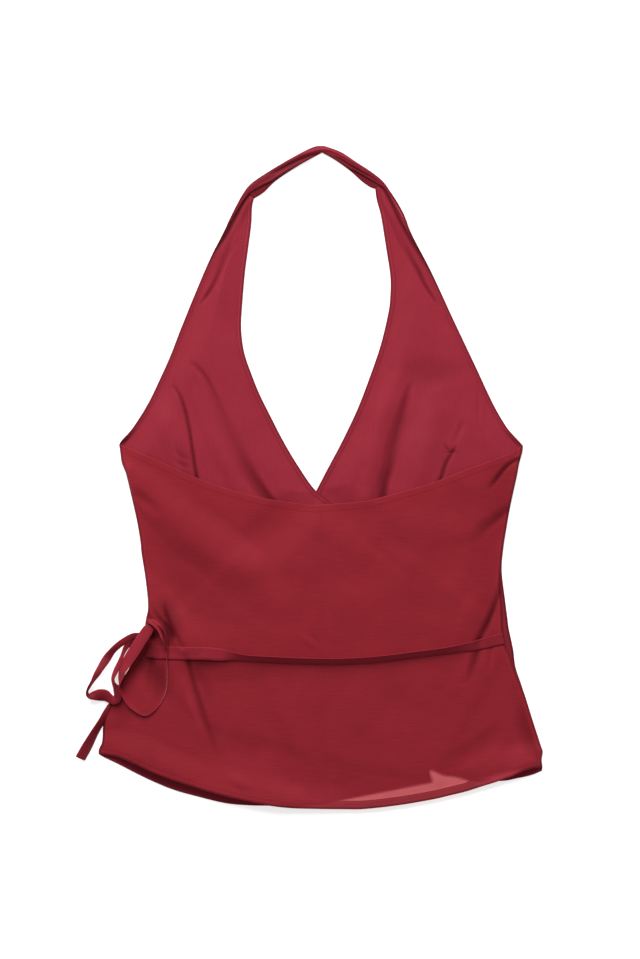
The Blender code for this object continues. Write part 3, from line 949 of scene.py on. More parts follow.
OUTER_FRONT_FOLDS = (
    # The strap: the roll below the band, the crease beside it with painted shade, and a lower one
    Fold(((71, 307, 0.8, 5), (80, 290.5, 1.4, 6), (88.5, 274.5, 1.6, 7, 6), (100, 250, 1.8, 8, 6),
        (112, 229, 1.4, 8, 6), (122, 211, 0, 8, 6)), 0.3, 0.2),
    Fold(((75.5, 311.5, -0.6, 3), (80.4, 305, -0.9, 3, 3.4), (87.6, 291.3, -1, 3, 3.6),
        (96.2, 273, -1, 3.4), (102.8, 261.8, -1, 3.6, 4), (110.8, 247.9, -1, 5, 4),
        (116.6, 238.5, -0.8, 4), (122, 229, -0.6, 3.6), (130.4, 214.5, -0.45, 3.4), (137, 201, -0.2, 3),
        (146, 184, 0, 3)), 0.2, 0.88),
    Fold(((101, 247, 0, 5), (106, 238, -0.5, 5.2), (109.7, 229.8, -0.7, 5.2), (117.2, 215.9, -1.2, 4.6),
        (123, 204.2, -1.4, 3.6), (131, 192, -1.2, 3, 3.4), (138.5, 181, 0, 3)), 0.4, 0.6),
    # Painted shade in the corner at the underarm, and a dent further up the armhole
    Fold(((228, 32, 0, 1.6), (220.5, 36.5, -0.4, 2.6), (212, 44.5, -0.3, 1.8, 2),
        (205, 52, 0, 1.4)), 0.0, 0.6),
    Fold(((144, 170, 0, 3), (152, 158, -0.8, 3), (163, 144, 0, 3))),
    # The long valley beside the neck edge and its shade
    Fold(((109, 102, 0, 4), (104.6, 92, -1.1, 6), (100, 75, -1.9, 8), (88.5, 31.5, -2.0, 10, 12),
        (84.6, 8, -2.3, 8, 11), (80, -10, -3, 6, 10), (77, -36, -3.4, 7, 10)), 0.35, 0.85),
    Fold(((82, 20, 0, 5), (76, 2, -0.3, 6), (72, -8, -0.4, 6), (68, -24, -0.4, 7)), 0.0, 0.14),
    # The broad hollow over the bust, then the rises below it and the light on them
    Fold(((96, 100, 0, 24, 14), (112, 104, -1.2, 30, 18), (130, 106, -1.2, 26, 18),
        (150, 110, -0.6, 20, 14), (170, 118, 0, 14, 10)), 0.0, 0.16),
    Fold(((98, 130, 0, 14), (78, 66, 1.2, 14, 12), (67, 18, 1.6, 14, 12), (56, -30, 1, 14, 12))),
    Fold(((150, 92, 0, 20), (130, 60, 1.6, 24), (112, 10, 1.8, 24), (100, -30, 1.2, 24, 20))),
    Fold(((116, 104, 0, 16, 18), (118, 66, 0.1, 22, 26), (116, 28, 0.1, 22, 24),
        (112, 0, 0, 16)), 0.0, -0.04),
    # The bust dart, with the hollow above it and the puckers at its point
    Fold(((164, 62, 0, 5), (160, 50, -1.2, 5), (154, 34, 0, 4))),
    Fold(((155, 31, 0, 2.4), (151, 25.5, -1.1, 3, 3.2), (146, 17, -1.4, 3.2, 3.8),
        (142.6, 8, -1.4, 3.6, 4.2), (139.6, -2, -1.4, 3.8, 4.4), (134, -14, -1.4, 4, 5)), 0.5, 0.85),
    Fold(((142, 36, 0, 2.5), (146, 31, -0.9, 2.5), (150, 28, 0, 2.5)), 0.4, 0.6),
    Fold(((141, 26, 0, 2), (151, 27, -0.7, 2), (162, 25, 0, 2)), 0.4, 0.55),
    Fold(((157, 34, 0, 2), (152, 29, -0.9, 2), (149, 26, 0, 2)), 0.4, 0.6),
    # Faint pulls from the underarm
    Fold(((179, 94, 0, 2.5), (179, 74, -0.7, 2.5), (178, 50, 0, 2.5)), 0.0, 0.12),
    Fold(((188, 84, 0, 2.5), (188, 66, -0.4, 2.5), (187, 44, 0, 2.5))),
)
BACK_FOLDS = (
    # Broad ridges from the left underarm across the back and down to the knot
    Fold(((-206, 8, 0, 14, 10), (-191, -4, 2.4, 26, 14), (-138, -51, 5, 34, 28), (-86, -90, 5, 34, 30),
        (-50, -120, 2.4, 30), (-10, -150, 0, 20))),
    Fold(((-182, -100, 0, 14, 10), (-172, -124, 2.4, 22, 10), (-142, -166, 3.4, 26, 16),
        (-120, -190, 0, 20, 16))),
    # Creases from both underarms
    Fold(((-188, -12, 0, 8), (-176, -25, -2.2, 9), (-158, -42, 0, 10))),
    Fold(((229, 22, -0.7, 3, 3.2), (218.5, 17.5, -1.0, 3.6, 4), (210, 12, -1.2, 4.4, 5),
        (203, 4.5, -1.2, 5, 5.4), (196.5, -4, -1.0, 5, 5.4), (188, -14, 0, 5)), 0.4, 0.92),
    Fold(((214, -32, -0.7, 6, 8), (206, -38.6, -1.1, 7, 10), (199.4, -44.2, -1.2, 7, 11),
        (188, -53, -0.8, 8, 12), (170, -67, -0.3, 9, 12), (116, -77, 0, 9)), 0.35, 0.55),
    # The crease that runs into the right end of the belt and on below it
    Fold(((205, -106, 0, 3.6, 4), (201, -124, -1.0, 4.6, 6), (195, -141.4, -1.7, 5.4, 7),
        (188.2, -157, -1.9, 6.4, 7.4), (180, -172, -1.4, 6.6, 7.4), (172, -184, 0, 6.6)), 0.5, 0.94),
    Fold(((184, -170, 0, 5), (180.5, -178, -2.0, 7), (174, -200, -1.6, 8), (166, -222, 0, 6)), 0.3, 0.6),
    Fold(((184, -118, 0, 12), (172, -145, 1.6, 16), (164, -172, 0, 12))),
    Fold(((193, -182, -0.6, 3), (192, -194, -1.2, 3), (191, -208, 0, 3))),
    # Shades under the knot and under the loops
    Fold(((-176, -164, 0, 6), (-168, -168, -0.4, 8), (-160, -172, 0, 6)), 0.0, 0.95),
    Fold(((-168, -172, 0, 10), (-176, -186, -0.4, 14), (-187, -204, -0.3, 12),
        (-196, -222, 0, 8)), 0.0, 0.45),
    Fold(((-216, -240, 0, 10), (-207, -245, -0.4, 14), (-197, -252, -0.2, 14),
        (-188, -258, 0, 10)), 0.0, 0.42),
    # Pleats that run into the knot
    Fold(((-156, -154, 0, 4), (-151, -163, -0.4, 5, 7), (-148, -171, -0.3, 5, 6),
        (-147, -180, 0, 4)), 0.0, 0.7),
    Fold(((-155, -132, 0, 4), (-153, -146, -1.8, 4), (-146, -163, -1.6, 5),
        (-136, -180, -1, 5)), 0.2, 0.45),
    # The ridge that hangs from the belt beside the knot, with its crease, light and shade
    Fold(((-133, -190, 0, 10, 3), (-128, -206, 1.6, 18, 5), (-119, -238, 2.4, 20, 5),
        (-108, -268, 1.6, 20, 5), (-98, -298, 0, 16, 6)), 0.5),
    Fold(((-134, -186, 0, 4), (-130.5, -196, -1.4, 5), (-123, -222, -1.8, 5), (-111.5, -256, -1.4, 5),
        (-98, -297, 0, 5)), 0.3, 0.6),
    Fold(((-137, -206, 0, 6), (-130.6, -232, 0.3, 7, 5), (-121, -256, 0.4, 7, 5),
        (-110, -284, 0, 6, 5)), 0.0, -0.12),
    Fold(((-128, -200, 0, 6), (-119, -211, -0.3, 11, 9), (-110, -224, -0.2, 11, 9),
        (-104, -246, 0, 8)), 0.0, 0.3),
    # Wide shades and lights across the back and below the belt
    Fold(((-170, -50, 0, 12), (-147, -90, -0.3, 20), (-117, -126, -0.3, 26), (-82, -148, -0.2, 22),
        (-48, -158, 0, 14)), 0.0, 0.16),
    Fold(((10, -46, 0, 30), (80, -62, 0.3, 40), (150, -50, 0.3, 36), (190, -30, 0, 20)), 0.0, -0.06),
    Fold(((-160, -215, 0, 14), (-140, -238, -0.2, 20, 16), (-128, -262, 0, 14)), 0.0, 0.05),
    Fold(((-206, -256, 0, 14), (-190, -280, -0.2, 18), (-150, -300, -0.1, 16),
        (-120, -312, 0, 14)), 0.0, 0.12),
    # The rise under the flat end of the belt, and the shade just below the belt
    Fold(((-156, -190, 0, 60, 14), (-128, -191, 2.0, 70, 24), (-100, -193, 3.0, 70, 28),
        (-72, -195, 2.2, 70, 24), (-40, -197, 0, 60, 16)), 0.2),
    Fold(((-135.5, -193, 0, 3, 6), (-130, -194.4, -0.5, 4, 11), (-120, -195, -0.5, 4, 15),
        (-104, -195, -0.42, 4, 13), (-86, -194.6, -0.3, 4, 12), (-66, -194, 0, 4, 10)), 0.4, 0.82),
    Fold(((-132, -194, 0, 3, 10), (-116, -195, -0.2, 3, 20), (-96, -195, -0.2, 3, 20),
        (-72, -195, 0, 3, 12)), 0.0, 0.22),
    # The shade inside the long loop and around the knot, with more pleats
    Fold(((-178, -186, 0, 14), (-166, -203, -0.3, 20), (-158, -222, -0.2, 20),
        (-156, -240, 0, 14)), 0.0, 0.66),
    Fold(((-162, -122, 0, 10, 8), (-155, -138, -0.3, 16, 13), (-147, -156, -0.4, 16, 13),
        (-142, -176, 0, 10, 8)), 0.0, 0.5),
    Fold(((-172, -184, 0, 6), (-169, -193, -0.3, 6, 8), (-166, -202, 0, 6)), 0.0, 0.5),
    Fold(((-175, -138, 0, 2), (-172, -146, -0.8, 2.4), (-168, -154, -1, 3),
        (-160, -158, -0.6, 3)), 0.3, 0.7),
    Fold(((-166, -140, 0, 2), (-162, -148, -0.9, 2.6), (-154, -156, -1, 3), (-147, -166, -0.8, 3.4),
        (-144, -176, 0, 3)), 0.3, 0.6),
    # Painted shade along the left side near the hem
    Fold(((-205, -228, 0, 6), (-214, -243, -0.3, 6), (-221, -262, -0.3, 5), (-223, -284, -0.2, 5),
        (-226, -296, 0, 4)), 0.0, 0.7),
    # Soft ridges down to the hem's middle
    Fold(((-48, -208, 0, 16), (-26, -256, 1.4, 18), (-6, -298, 1.2, 18), (8, -340, 0, 16))),
    Fold(((-90, -316, 0, 8), (-76, -324, 0.9, 8), (-62, -332, 0, 8))),
    Fold(((-110, -300, 0, 20), (-70, -312, 0.2, 26), (-20, -326, 0.1, 20),
        (10, -332, 0, 16)), 0.0, -0.08),
    # Dents below the knot
    Fold(((-168, -194, -1, 4), (-170, -212, -1.2, 4), (-171, -240, 0, 4))),
    Fold(((-154, -194, -1, 4), (-155, -212, -0.8, 4), (-157, -235, 0, 4))),
    # The hem at the right: hollow, rise, light on its fold, and the shaded side edge
    Fold(((208, -262, 0, 12), (190, -280, -1.2, 16, 14), (160, -298, -1.0, 16, 14),
        (134, -304, 0, 12)), 0.0, 0.03),
    Fold(((150, -316, 0, 14), (190, -311, 1.4, 22, 16), (228, -301, 1.6, 22, 16),
        (250, -294, 0.8, 14, 10)), 0.0, -0.1),
    Fold(((172, -328, 0, 5), (186, -325, 0.1, 7), (202, -320.5, 0.2, 8, 7), (226, -314, 0.1, 6),
        (240, -311, 0, 4)), 0.0, -0.75),
    Fold(((222, -232, 0, 3, 8), (230, -258, -0.3, 4, 16), (238, -284, -0.3, 4, 16),
        (243, -300, 0, 3, 8)), 0.0, 0.42),
    # Light across the upper middle and at the middle of the hem, and a hollow right of the seam
    Fold(((-120, -84, 0, 24), (-64, -82, 0.3, 30, 26), (0, -78, 0.3, 30, 26),
        (44, -78, 0, 24)), 0.0, -0.09),
    Fold(((-50, -328, 0, 12, 10), (-18, -338, 0.3, 16, 14), (20, -340, 0.3, 16, 14),
        (52, -336, 0, 12, 10)), 0.0, -0.16),
    Fold(((58, -112, 0, 20, 18), (90, -126, -0.2, 26, 22), (130, -130, -0.2, 24, 22),
        (156, -128, 0, 16)), 0.0, 0.08),
    # The rise along the hem at the left
    Fold(((-226, -280, 0.6, 14, 10), (-194, -290, 1.4, 22, 12), (-150, -306, 1.6, 20, 12),
        (-110, -322, 0, 14, 12))),
    # Small dents beside the seam
    Fold(((-14, -164, 0, 4), (-4, -174, 0.5, 5), (10, -184, 0, 4))),
    Fold(((-2, -160, 0, 4), (4, -172, -0.5, 4), (12, -180, 0, 4))),
    Fold(((46, -56, 0, 8), (78, -82, -0.6, 8), (108, -108, 0, 8))),
)
BAND_FOLDS = (
    # The groove along the left half, and the light on the rolled edge above it
    Fold(((-46, 321.8, 0, 2), (-38.6, 325, -0.7, 3, 3.4), (-32.2, 328, -1.0, 3.4, 3.8),
        (-19.4, 334.7, -1.2, 3.6, 4), (-6.6, 340.3, -1.1, 3.4), (6.2, 344.6, -0.9, 2.6, 2.4),
        (13, 346.8, 0, 2)), 0.2, 0.48),
    Fold(((-30, 333.6, 0, 1.6), (-13, 342.6, 0.4, 1.8), (-6.6, 345.2, 0.6, 2, 2.4),
        (6.2, 348.8, 0.7, 2, 2.6), (12.6, 350, 0.8, 2.4, 3), (19, 349.2, 0.9, 2.4),
        (25.4, 347.2, 0.7, 2, 1.8), (38.2, 340.8, 0.9, 1.8, 1.6), (51, 333.6, 0.6, 1.6),
        (62, 327, 0, 1.6)), 0.2, -0.5),
    # The light on the join with the lower ply
    Fold(((-57, 309, 0, 1.6), (-51.4, 312.3, 0.4, 1.6), (-45, 315.2, 0.5, 1.6), (-38.6, 318.9, 0.5, 1.6),
        (-25.8, 327.2, 0.5, 1.8, 1.6), (-14, 334.4, 0, 1.6)), 0.3, -0.16),
    # The groove along the right half and the rise below it
    Fold(((24, 341.8, 0, 1.6), (31.8, 339, -0.6, 1.9, 2.2), (44.6, 331.4, -0.9, 2.2, 2.4),
        (57.4, 324.2, -0.8, 2.1, 2.2), (66, 319.6, -0.6, 1.8), (76, 312.4, 0, 1.8)), 0.2, 0.52),
    Fold(((38, 333, 0, 1.4), (44.6, 329, 0.4, 1.5), (57.4, 322.2, 0.4, 1.4),
        (66, 317.4, 0, 1.4)), 0.2, 0.1),
    # Lit edges where the band runs on down both armholes
    Fold(((80, 307, 0, 1.4), (88.2, 293.4, 0.8, 2.0, 2.2), (96.4, 279.6, 0.8, 2.0, 2.2),
        (103, 268.6, 0, 1.2)), 0.1, -2.4),
    Fold(((-91, 266, 0.1, 1.4), (-81.6, 283.4, 0.3, 1.6, 1.4), (-71.5, 301, 0.3, 1.6, 1.4),
        (-60, 314, 0, 1.4)), 0.2, -0.3),
)


# ---------------------------------------------------------------------------------------------
# How the panels lie on each other
# ---------------------------------------------------------------------------------------------
def below_back(points: Array) -> Array:
    """How far points lie below the back's top edge, and 0 above it."""
    distance, side, _ = near_path(points, smooth(TOP_BACK))
    return distance * (side < 0)


@dataclass
class Stack:
    """The heights at which the panels lie. A panel steps up over the edge of the one below it,
    and comes down again past that edge."""

    pattern: Pattern
    tail: Rows
    step: float = 0.75
    margin: float = 3.0
    ramp: float = 16.0
    loft: float = 3.6
    loft_reach: float = 32.0
    loft_under: float = 90.0

    def stepped(self, distance: Array) -> Array:
        """Height of a layer at this distance from the edge of the piece that it crosses."""
        return self.step * (1.0 - smoothstep((distance - self.margin) / self.ramp))

    def bust(self, points: Array) -> Array:
        """Height of the air under the darted fronts: none at their neck edges and armholes, and
        less and less below the top edge of the back."""
        inward = distance_to(points, NECK_INNER, NECK_OUTER, ARMHOLE_LEFT, ARMHOLE_RIGHT)
        covered = smoothstep(below_back(points) / self.loft_under)
        return self.loft * smoothstep(inward / self.loft_reach) * (1 - covered)

    def over_outer(self, points: Array) -> Array:
        """Height at which the inner front lies: over the outer front and the tie's end."""
        beside_tail = distance_to(points, self.tail) - Bow.width / 2
        distance = distance_outside(points, self.pattern.outer_front.outline())
        return self.stepped(np.minimum(distance, beside_tail))

    def over_fronts(self, points: Array) -> Array:
        """Height at which the back lies: over both fronts."""
        inner = distance_outside(points, self.pattern.inner_front.outline())
        return self.over_outer(points) + self.stepped(inner)


@dataclass
class Cloth:
    """What all the cloth panels share: their thickness and how they become pieces."""

    wall: float = 0.35
    clearance: float = 0.12

    def piece(
        self, name: str, plan: Array, height: Array, finish: Finish, plies: Array | None,
        shade: Array, turn: float,
    ) -> bpy.types.Object:
        """Makes a panel's piece.

        Args:
            name: Name of the node that it stands for.
            plan: Grid of x and y.
            height: Height of its underside at each point.
            finish: The cloth.
            plies: The plies under each point, as make_mesh takes them.
            shade: The shade of each point, as make_mesh takes it.
            turn: Angle of its grain to the table's axes, in degrees.

        Returns:
            The piece, riding on the body.
        """
        points = np.concatenate([plan, height[..., None] + self.clearance], -1)
        faces = grid_faces(*plan.shape[:2])
        grain = turned(plan, turn)
        piece = make_mesh(f"{name}_cloth", points, faces, MATERIALS[finish], grain, plies, shade)
        give_wall(piece, self.wall)
        return declare(piece, name)


@dataclass
class Fronts(Cloth):
    """The two fronts, wrong side up. Each has a narrow hem turned to that side along its neck
    edge and its armhole, a bust dart, and the folds in which it lies."""

    neck_hem: float = 5.0
    armhole_hem: float = 4.6
    fold_reach: float = 36.0  # of the folds under the back
    sliver_y: tuple[float, float] = (-212.0, -88.0)
    sliver_ramp: float = 20.0
    sliver_width: float = 12.0
    sliver_shade: float = 0.3
    under_hem_y: float = -270.0
    under_hem_shade: float = 0.22
    grain_turn: float = 4.0

    inner_relief: Relief = Relief(INNER_FRONT_FOLDS, Ripple(seed=4, height=0.25))
    outer_relief: Relief = Relief(OUTER_FRONT_FOLDS, Ripple(seed=9, height=0.25))

    def side_shade(self, points: Array) -> Array:
        """The sliver of the outer front that shows beside the back's seam lies in its shade."""
        y = points[..., 1]
        low, high = self.sliver_y
        along = smoothstep((high - y) / self.sliver_ramp) * smoothstep((y - low) / self.sliver_ramp)
        return self.sliver_shade * along * (distance_to(points, SIDE_RIGHT) < self.sliver_width)

    def hem_shade(self, points: Array) -> Array:
        """The front's inside that shows below the back's hem lies in its shade."""
        distance, side, _ = near_path(points, smooth(HEM_BACK))
        below = smoothstep(1.0 - distance * (side > 0) / 2.0)
        return self.under_hem_shade * below * (points[..., 1] < self.under_hem_y)

    def height(self, points: Array, stack: Stack, is_inner: bool) -> Array:
        """Height of a front's underside: the air under the bust with the folds, which die out
        under the back, its hems, and for the inner front what it lies on.

        Args:
            points: Array of x and y.
            stack: How the panels lie.
            is_inner: Whether it is the inner front.

        Returns:
            The heights.
        """
        neck, armhole = (NECK_INNER, ARMHOLE_LEFT) if is_inner else (NECK_OUTER, ARMHOLE_RIGHT)
        relief = self.inner_relief if is_inner else self.outer_relief
        under = smoothstep(below_back(points) / self.fold_reach)
        lofted = stack.bust(points) + relief.lift(points)[0] * (1 - under)
        height = above_zero(lofted)
        height += Hem(smooth(neck), self.neck_hem).lift(points)
        height += Hem(smooth(armhole), self.armhole_hem, rise=0.3).lift(points)
        if is_inner:
            height += stack.over_outer(points)
        return np.maximum(height, 0.0)

    def build(self, stack: Stack) -> list[bpy.types.Object]:
        """Makes both fronts."""
        made = []
        for name, panel, neck, armhole, relief in (
            ("front_outer", stack.pattern.outer_front, NECK_OUTER, ARMHOLE_RIGHT, self.outer_relief),
            ("front_inner", stack.pattern.inner_front, NECK_INNER, ARMHOLE_LEFT, self.inner_relief),
        ):
            plan = panel.plan()
            shade = relief.lift(plan)[1] + rim_shade(plan, (neck, armhole, SIDE_LEFT, SIDE_RIGHT))
            shade += stitch_shade(plan, neck, self.neck_hem) + stitch_shade(plan, armhole, self.armhole_hem)
            shade += self.hem_shade(plan)
            if name == "front_outer":
                shade += self.side_shade(plan)
            height = self.height(plan, stack, name == "front_inner")
            made.append(self.piece(name, plan, height, Finish.FRONT, None, shade, self.grain_turn))
        return made


@dataclass
class Back(Cloth):
    """The back in two halves, right side up, joined by the centre seam. Its top and bottom hems
    are turned under and stitched, and its side seams round down to the fronts."""

    top_hem: float = 7.5
    bottom_hem: float = 9.5
    side_round: float = 4.0
    puff: float = 3.0
    puff_reach: float = 40.0
    seam_allowance: float = 10.0
    seam_depth: float = 0.06
    seam_reach: float = 1.4
    ply: float = 0.12
    ease: float = 0.8
    bulk: float = 0.6
    # Where the hem stands off: from x, rising over, to x, falling over, and how high
    hem_gaps: Rows = ((-222, 40, -60, 80, 4.2), (205, 20, 238, 8, 3.2))
    gap_reach: float = 34.0
    see_through_edge: float = 2.8
    hem_light: float = 0.15
    # Painted shade of the seam allowance where the fronts lie under it
    allowance_shade: float = 0.12
    grain_turn: float = -1.5

    relief: Relief = Relief(BACK_FOLDS, Ripple(seed=21, height=0.35))

    def height(self, points: Array, stack: Stack) -> Array:
        """Height of the back's underside: over the fronts, puffed up by the air between them and
        rounded down along its side seams, with its folds and hems.

        Args:
            points: Array of x and y.
            stack: How the panels lie.

        Returns:
            The heights.
        """
        inward = distance_to(points, SIDE_LEFT, SEAM_RIGHT)
        round_down = quarter_round(inward / self.side_round)
        air = self.puff * smoothstep(inward / self.puff_reach)
        folds, _ = self.relief.lift(points)
        middle, side, _ = near_path(points, BACK_SEAM)
        seam = -self.seam_depth * np.exp(-middle / self.seam_reach)
        # The allowance lies to the right, which is to the left of a run from the top down.
        ply = self.ply * smoothstep((self.seam_allowance - middle) / 2.0 + 0.5) * (side > 0)
        top = Hem(smooth(TOP_BACK), self.top_hem, rise=0.06, shows=False, pull=0.03).lift(points)
        low = Hem(smooth(HEM_BACK), self.bottom_hem, rise=0.4, shows=False).lift(points)
        loose = above_zero(air + stack.bust(points) + folds + self.ease) + self.bulk
        base = stack.over_fronts(points)
        return base + loose * round_down + seam + ply + top + low + self.hem_gap(points)

    def top(self, points: Array, stack: Stack) -> Array:
        """Height of the back's upper side."""
        return self.height(points, stack) + self.wall + self.clearance

    def hem_gap(self, points: Array) -> Array:
        """The bottom hem stands off the inner front along the left and at the right corner."""
        x = points[..., 0]
        gap = sum(
            height * smoothstep((x - start) / rise) * (1 - smoothstep((x - end) / fall))
            for start, rise, end, fall, height in self.hem_gaps
        )
        return gap * (1 - smoothstep(distance_to(points, HEM_BACK) / self.gap_reach))

    def plies(self, points: Array, stack: Stack) -> Array:
        """1 where only the back covers the table and painted light comes through it, below 0 over
        the seam allowance and hems, where the colour gets painted shade.
        """
        covered = [
            distance_outside(points, panel.outline())
            for panel in (stack.pattern.inner_front, stack.pattern.outer_front)
        ]
        single = smoothstep(np.minimum(*covered) / self.see_through_edge)
        hem = distance_to(points, HEM_BACK) < self.bottom_hem
        middle, side, _ = near_path(points, BACK_SEAM)
        allowance = (middle < self.seam_allowance) & (side > 0)
        through = np.where(hem, self.hem_light * single, single)
        return through - self.allowance_shade * allowance * (1 - single)

    def build(self, stack: Stack) -> list[bpy.types.Object]:
        """Makes both halves."""
        made = []
        pattern = stack.pattern
        for name, panel in (("back_left", pattern.back_left), ("back_right", pattern.back_right)):
            plan = panel.plan()
            shade = self.relief.lift(plan)[1] + rim_shade(plan, (SIDE_LEFT, SEAM_RIGHT, HEM_BACK))
            piece = self.piece(
                name, plan, self.height(plan, stack), Finish.BACK, self.plies(plan, stack), shade,
                self.grain_turn,
            )
            self.sharpen_seam(piece, plan)
            made.append(piece)
        return made

    @staticmethod
    def sharpen_seam(piece: bpy.types.Object, plan: Array) -> None:
        """Marks the edges along the centre seam as sharp, so the half is shaded flat up to it."""
        corners = np.empty(2 * len(piece.data.edges), np.int32)
        piece.data.edges.foreach_get("vertices", corners)
        middle = near_path(plan.reshape(-1, 2), BACK_SEAM)[0]
        on_seam = (middle < 0.02)[corners.reshape(-1, 2)].all(axis=1)
        sharp = piece.data.attributes.new("sharp_edge", "BOOLEAN", "EDGE")
        sharp.data.foreach_set("value", on_seam)
        LOG.info("%s: %d sharp edges at the seam", piece.name, on_seam.sum())


@dataclass
class NeckBand(Cloth):
    """The band behind the neck, a strip folded lengthwise. Its upper ply is rolled and runs on
    down both armhole edges, and its lower ply shows where it joins the fronts."""

    double_wall: float = 0.7
    roll: float = 1.3
    roll_radius: float = 4.2
    full_width: float = 6.72  # where the strip is narrower, its roll is lower
    inner_drop: float = 0.5
    lift_off: float = 0.9
    lifted_width: float = 4.0
    under_rise: float = 0.9
    under_round: float = 1.4
    # Painted shade over the whole band, which looks darker than the fronts
    band_shade: float = 0.5
    edge_shade: float = 0.25
    under_shade: float = 0.62
    join_shade: float = 0.32
    join_reach: float = 3.2
    grain_turn: float = 30.0
    relief: Relief = Relief(BAND_FOLDS, Ripple(seed=31, height=0.1, shortest=8, longest=30))

    def build(self, stack: Stack) -> bpy.types.Object:
        """Makes the band from its two plies."""
        plan = stack.pattern.strip.plan()
        outer = distance_to(plan, STRIP_OUTER)
        inner = distance_to(plan, *STRIP_INNER)
        width = outer + inner
        rise = self.roll * np.minimum(1.0, width / self.full_width)
        folds, shade = self.relief.lift(plan)
        height = rise * quarter_round(outer / self.roll_radius) + folds
        height = np.maximum(height - self.inner_drop * (1 - smoothstep(inner)), 0.0)
        height += self.lift_off * smoothstep(width / self.lifted_width)
        top = np.concatenate([plan, height[..., None]], -1)
        plan = stack.pattern.under_strip.plan()
        edge = distance_to(plan, *BAND_INNER)
        low = self.under_rise * quarter_round(edge / self.under_round)
        bottom = np.concatenate([plan, low[..., None]], -1)
        fold = distance_to(plan, *STRIP_INNER[1:3])
        # Painted shade: the folds' own, one over the whole band, and more along its outer edge
        shade = shade + self.band_shade + self.edge_shade * (1 - smoothstep(outer / self.under_round))
        below = self.under_shade * smoothstep((edge + 1.5) / 3.0)
        below += self.join_shade * (1 - smoothstep(fold / self.join_reach))
        return self.plies_piece([top, bottom], [np.clip(shade, -1, 1), np.clip(below, -1, 1)])

    def plies_piece(self, plies: list[Array], shades: list[Array]) -> bpy.types.Object:
        """One piece of several plies.

        Args:
            plies: The grid of points of each.
            shades: The shade of each at those points.

        Returns:
            The piece, riding on the body.
        """
        points, faces = joined([(grid.reshape(-1, 3), grid_faces(*grid.shape[:2])) for grid in plies])
        piece = make_mesh(
            "neck_band_cloth", points + (0, 0, self.clearance), faces, MATERIALS[Finish.FRONT],
            turned(points[:, :2], self.grain_turn), None,
            np.concatenate([shade.ravel() for shade in shades]),
        )
        give_wall(piece, self.double_wall)
        length = float(lengths_along(smooth(STRIP_OUTER))[-1] * MM)
        return declare(piece, "neck_band")


# ---------------------------------------------------------------------------------------------
# Ties
# ---------------------------------------------------------------------------------------------
@dataclass(frozen=True)
class Ribbon:
    """A turned tie: a flat tube carried along a route.

    Columns of the route: x, y, height of the middle, tilt about the run in degrees, width, and how
    deep its left and its right side lie in shade. The section is a flat oval whose sides follow the
    sine and cosine of a full turn, cupped by a part of its width. A little light comes through its
    two folded edges.
    """

    route: Rows
    stations: int = 120
    around: int = 16
    thick: float = 0.9
    cup: float = -0.08
    fullness: float = 0.7  # power of the cosine that gives the width: below 1 is squarer
    edge_from: float = 0.9
    edge_light: float = 0.14

    def path(self) -> Array:
        """Its route as a smooth path, with all the columns."""
        return smooth(self.route, 16)

    def surface(self) -> tuple[Array, Array, Array]:
        """The grid of points, their place in the cloth's plane and their shade."""
        rows = at_share(self.path(), np.linspace(0, 1, self.stations), 3)
        place, tilt, width = rows[:, :3], np.radians(rows[:, 3]), rows[:, 4]
        run = np.gradient(place, axis=0)
        run /= np.linalg.norm(run, axis=1, keepdims=True)
        across = np.stack([-run[:, 1], run[:, 0], np.zeros(len(run))], -1)
        across /= np.linalg.norm(across, axis=1, keepdims=True)
        up = np.cross(run, across)
        side = across * np.cos(tilt)[:, None] + up * np.sin(tilt)[:, None]
        normal = np.cross(run, side)
        turn = np.linspace(0, math.tau, self.around, endpoint=False)
        flat, round_ = np.cos(turn), np.sin(turn)
        wide = np.sign(flat) * np.abs(flat) ** self.fullness / 2 * width[:, None]
        high = round_ * self.thick / 2 + self.cup * width[:, None] * (np.abs(flat) ** 2 - 0.5)
        points = (
            place[:, None] + side[:, None] * wide[..., None] + normal[:, None] * high[..., None]
        )
        gone = lengths_along(place, 3)
        grain = np.stack([wide, np.broadcast_to(gone[:, None], wide.shape)], -1)
        left = 0.5 + wide / width[:, None]
        shade = rows[:, 5:6] * left + rows[:, 6:7] * (1 - left)
        shade = shade - np.where(np.abs(flat) > self.edge_from, self.edge_light, 0.0)
        return points, grain, shade

    def piece(self, name: str, finish: Finish) -> bpy.types.Object:
        """Makes the ribbon with both its ends closed."""
        points, grain, shade = self.surface()
        rows, around = points.shape[:2]
        faces = grid_faces(rows, around, wrap=True)
        half = around // 2
        ring = np.arange(around)
        ends = []
        for base, flip in ((0, False), ((rows - 1) * around, True)):
            near, far = ring[:half], ring[::-1][:half]
            quads = np.stack([near[:-1], near[1:], far[1:], far[:-1]], -1) + base
            ends.append(quads if flip else quads[:, ::-1])
        return make_mesh(name, points, np.vstack([faces, *ends]), MATERIALS[finish], grain, None, shade)


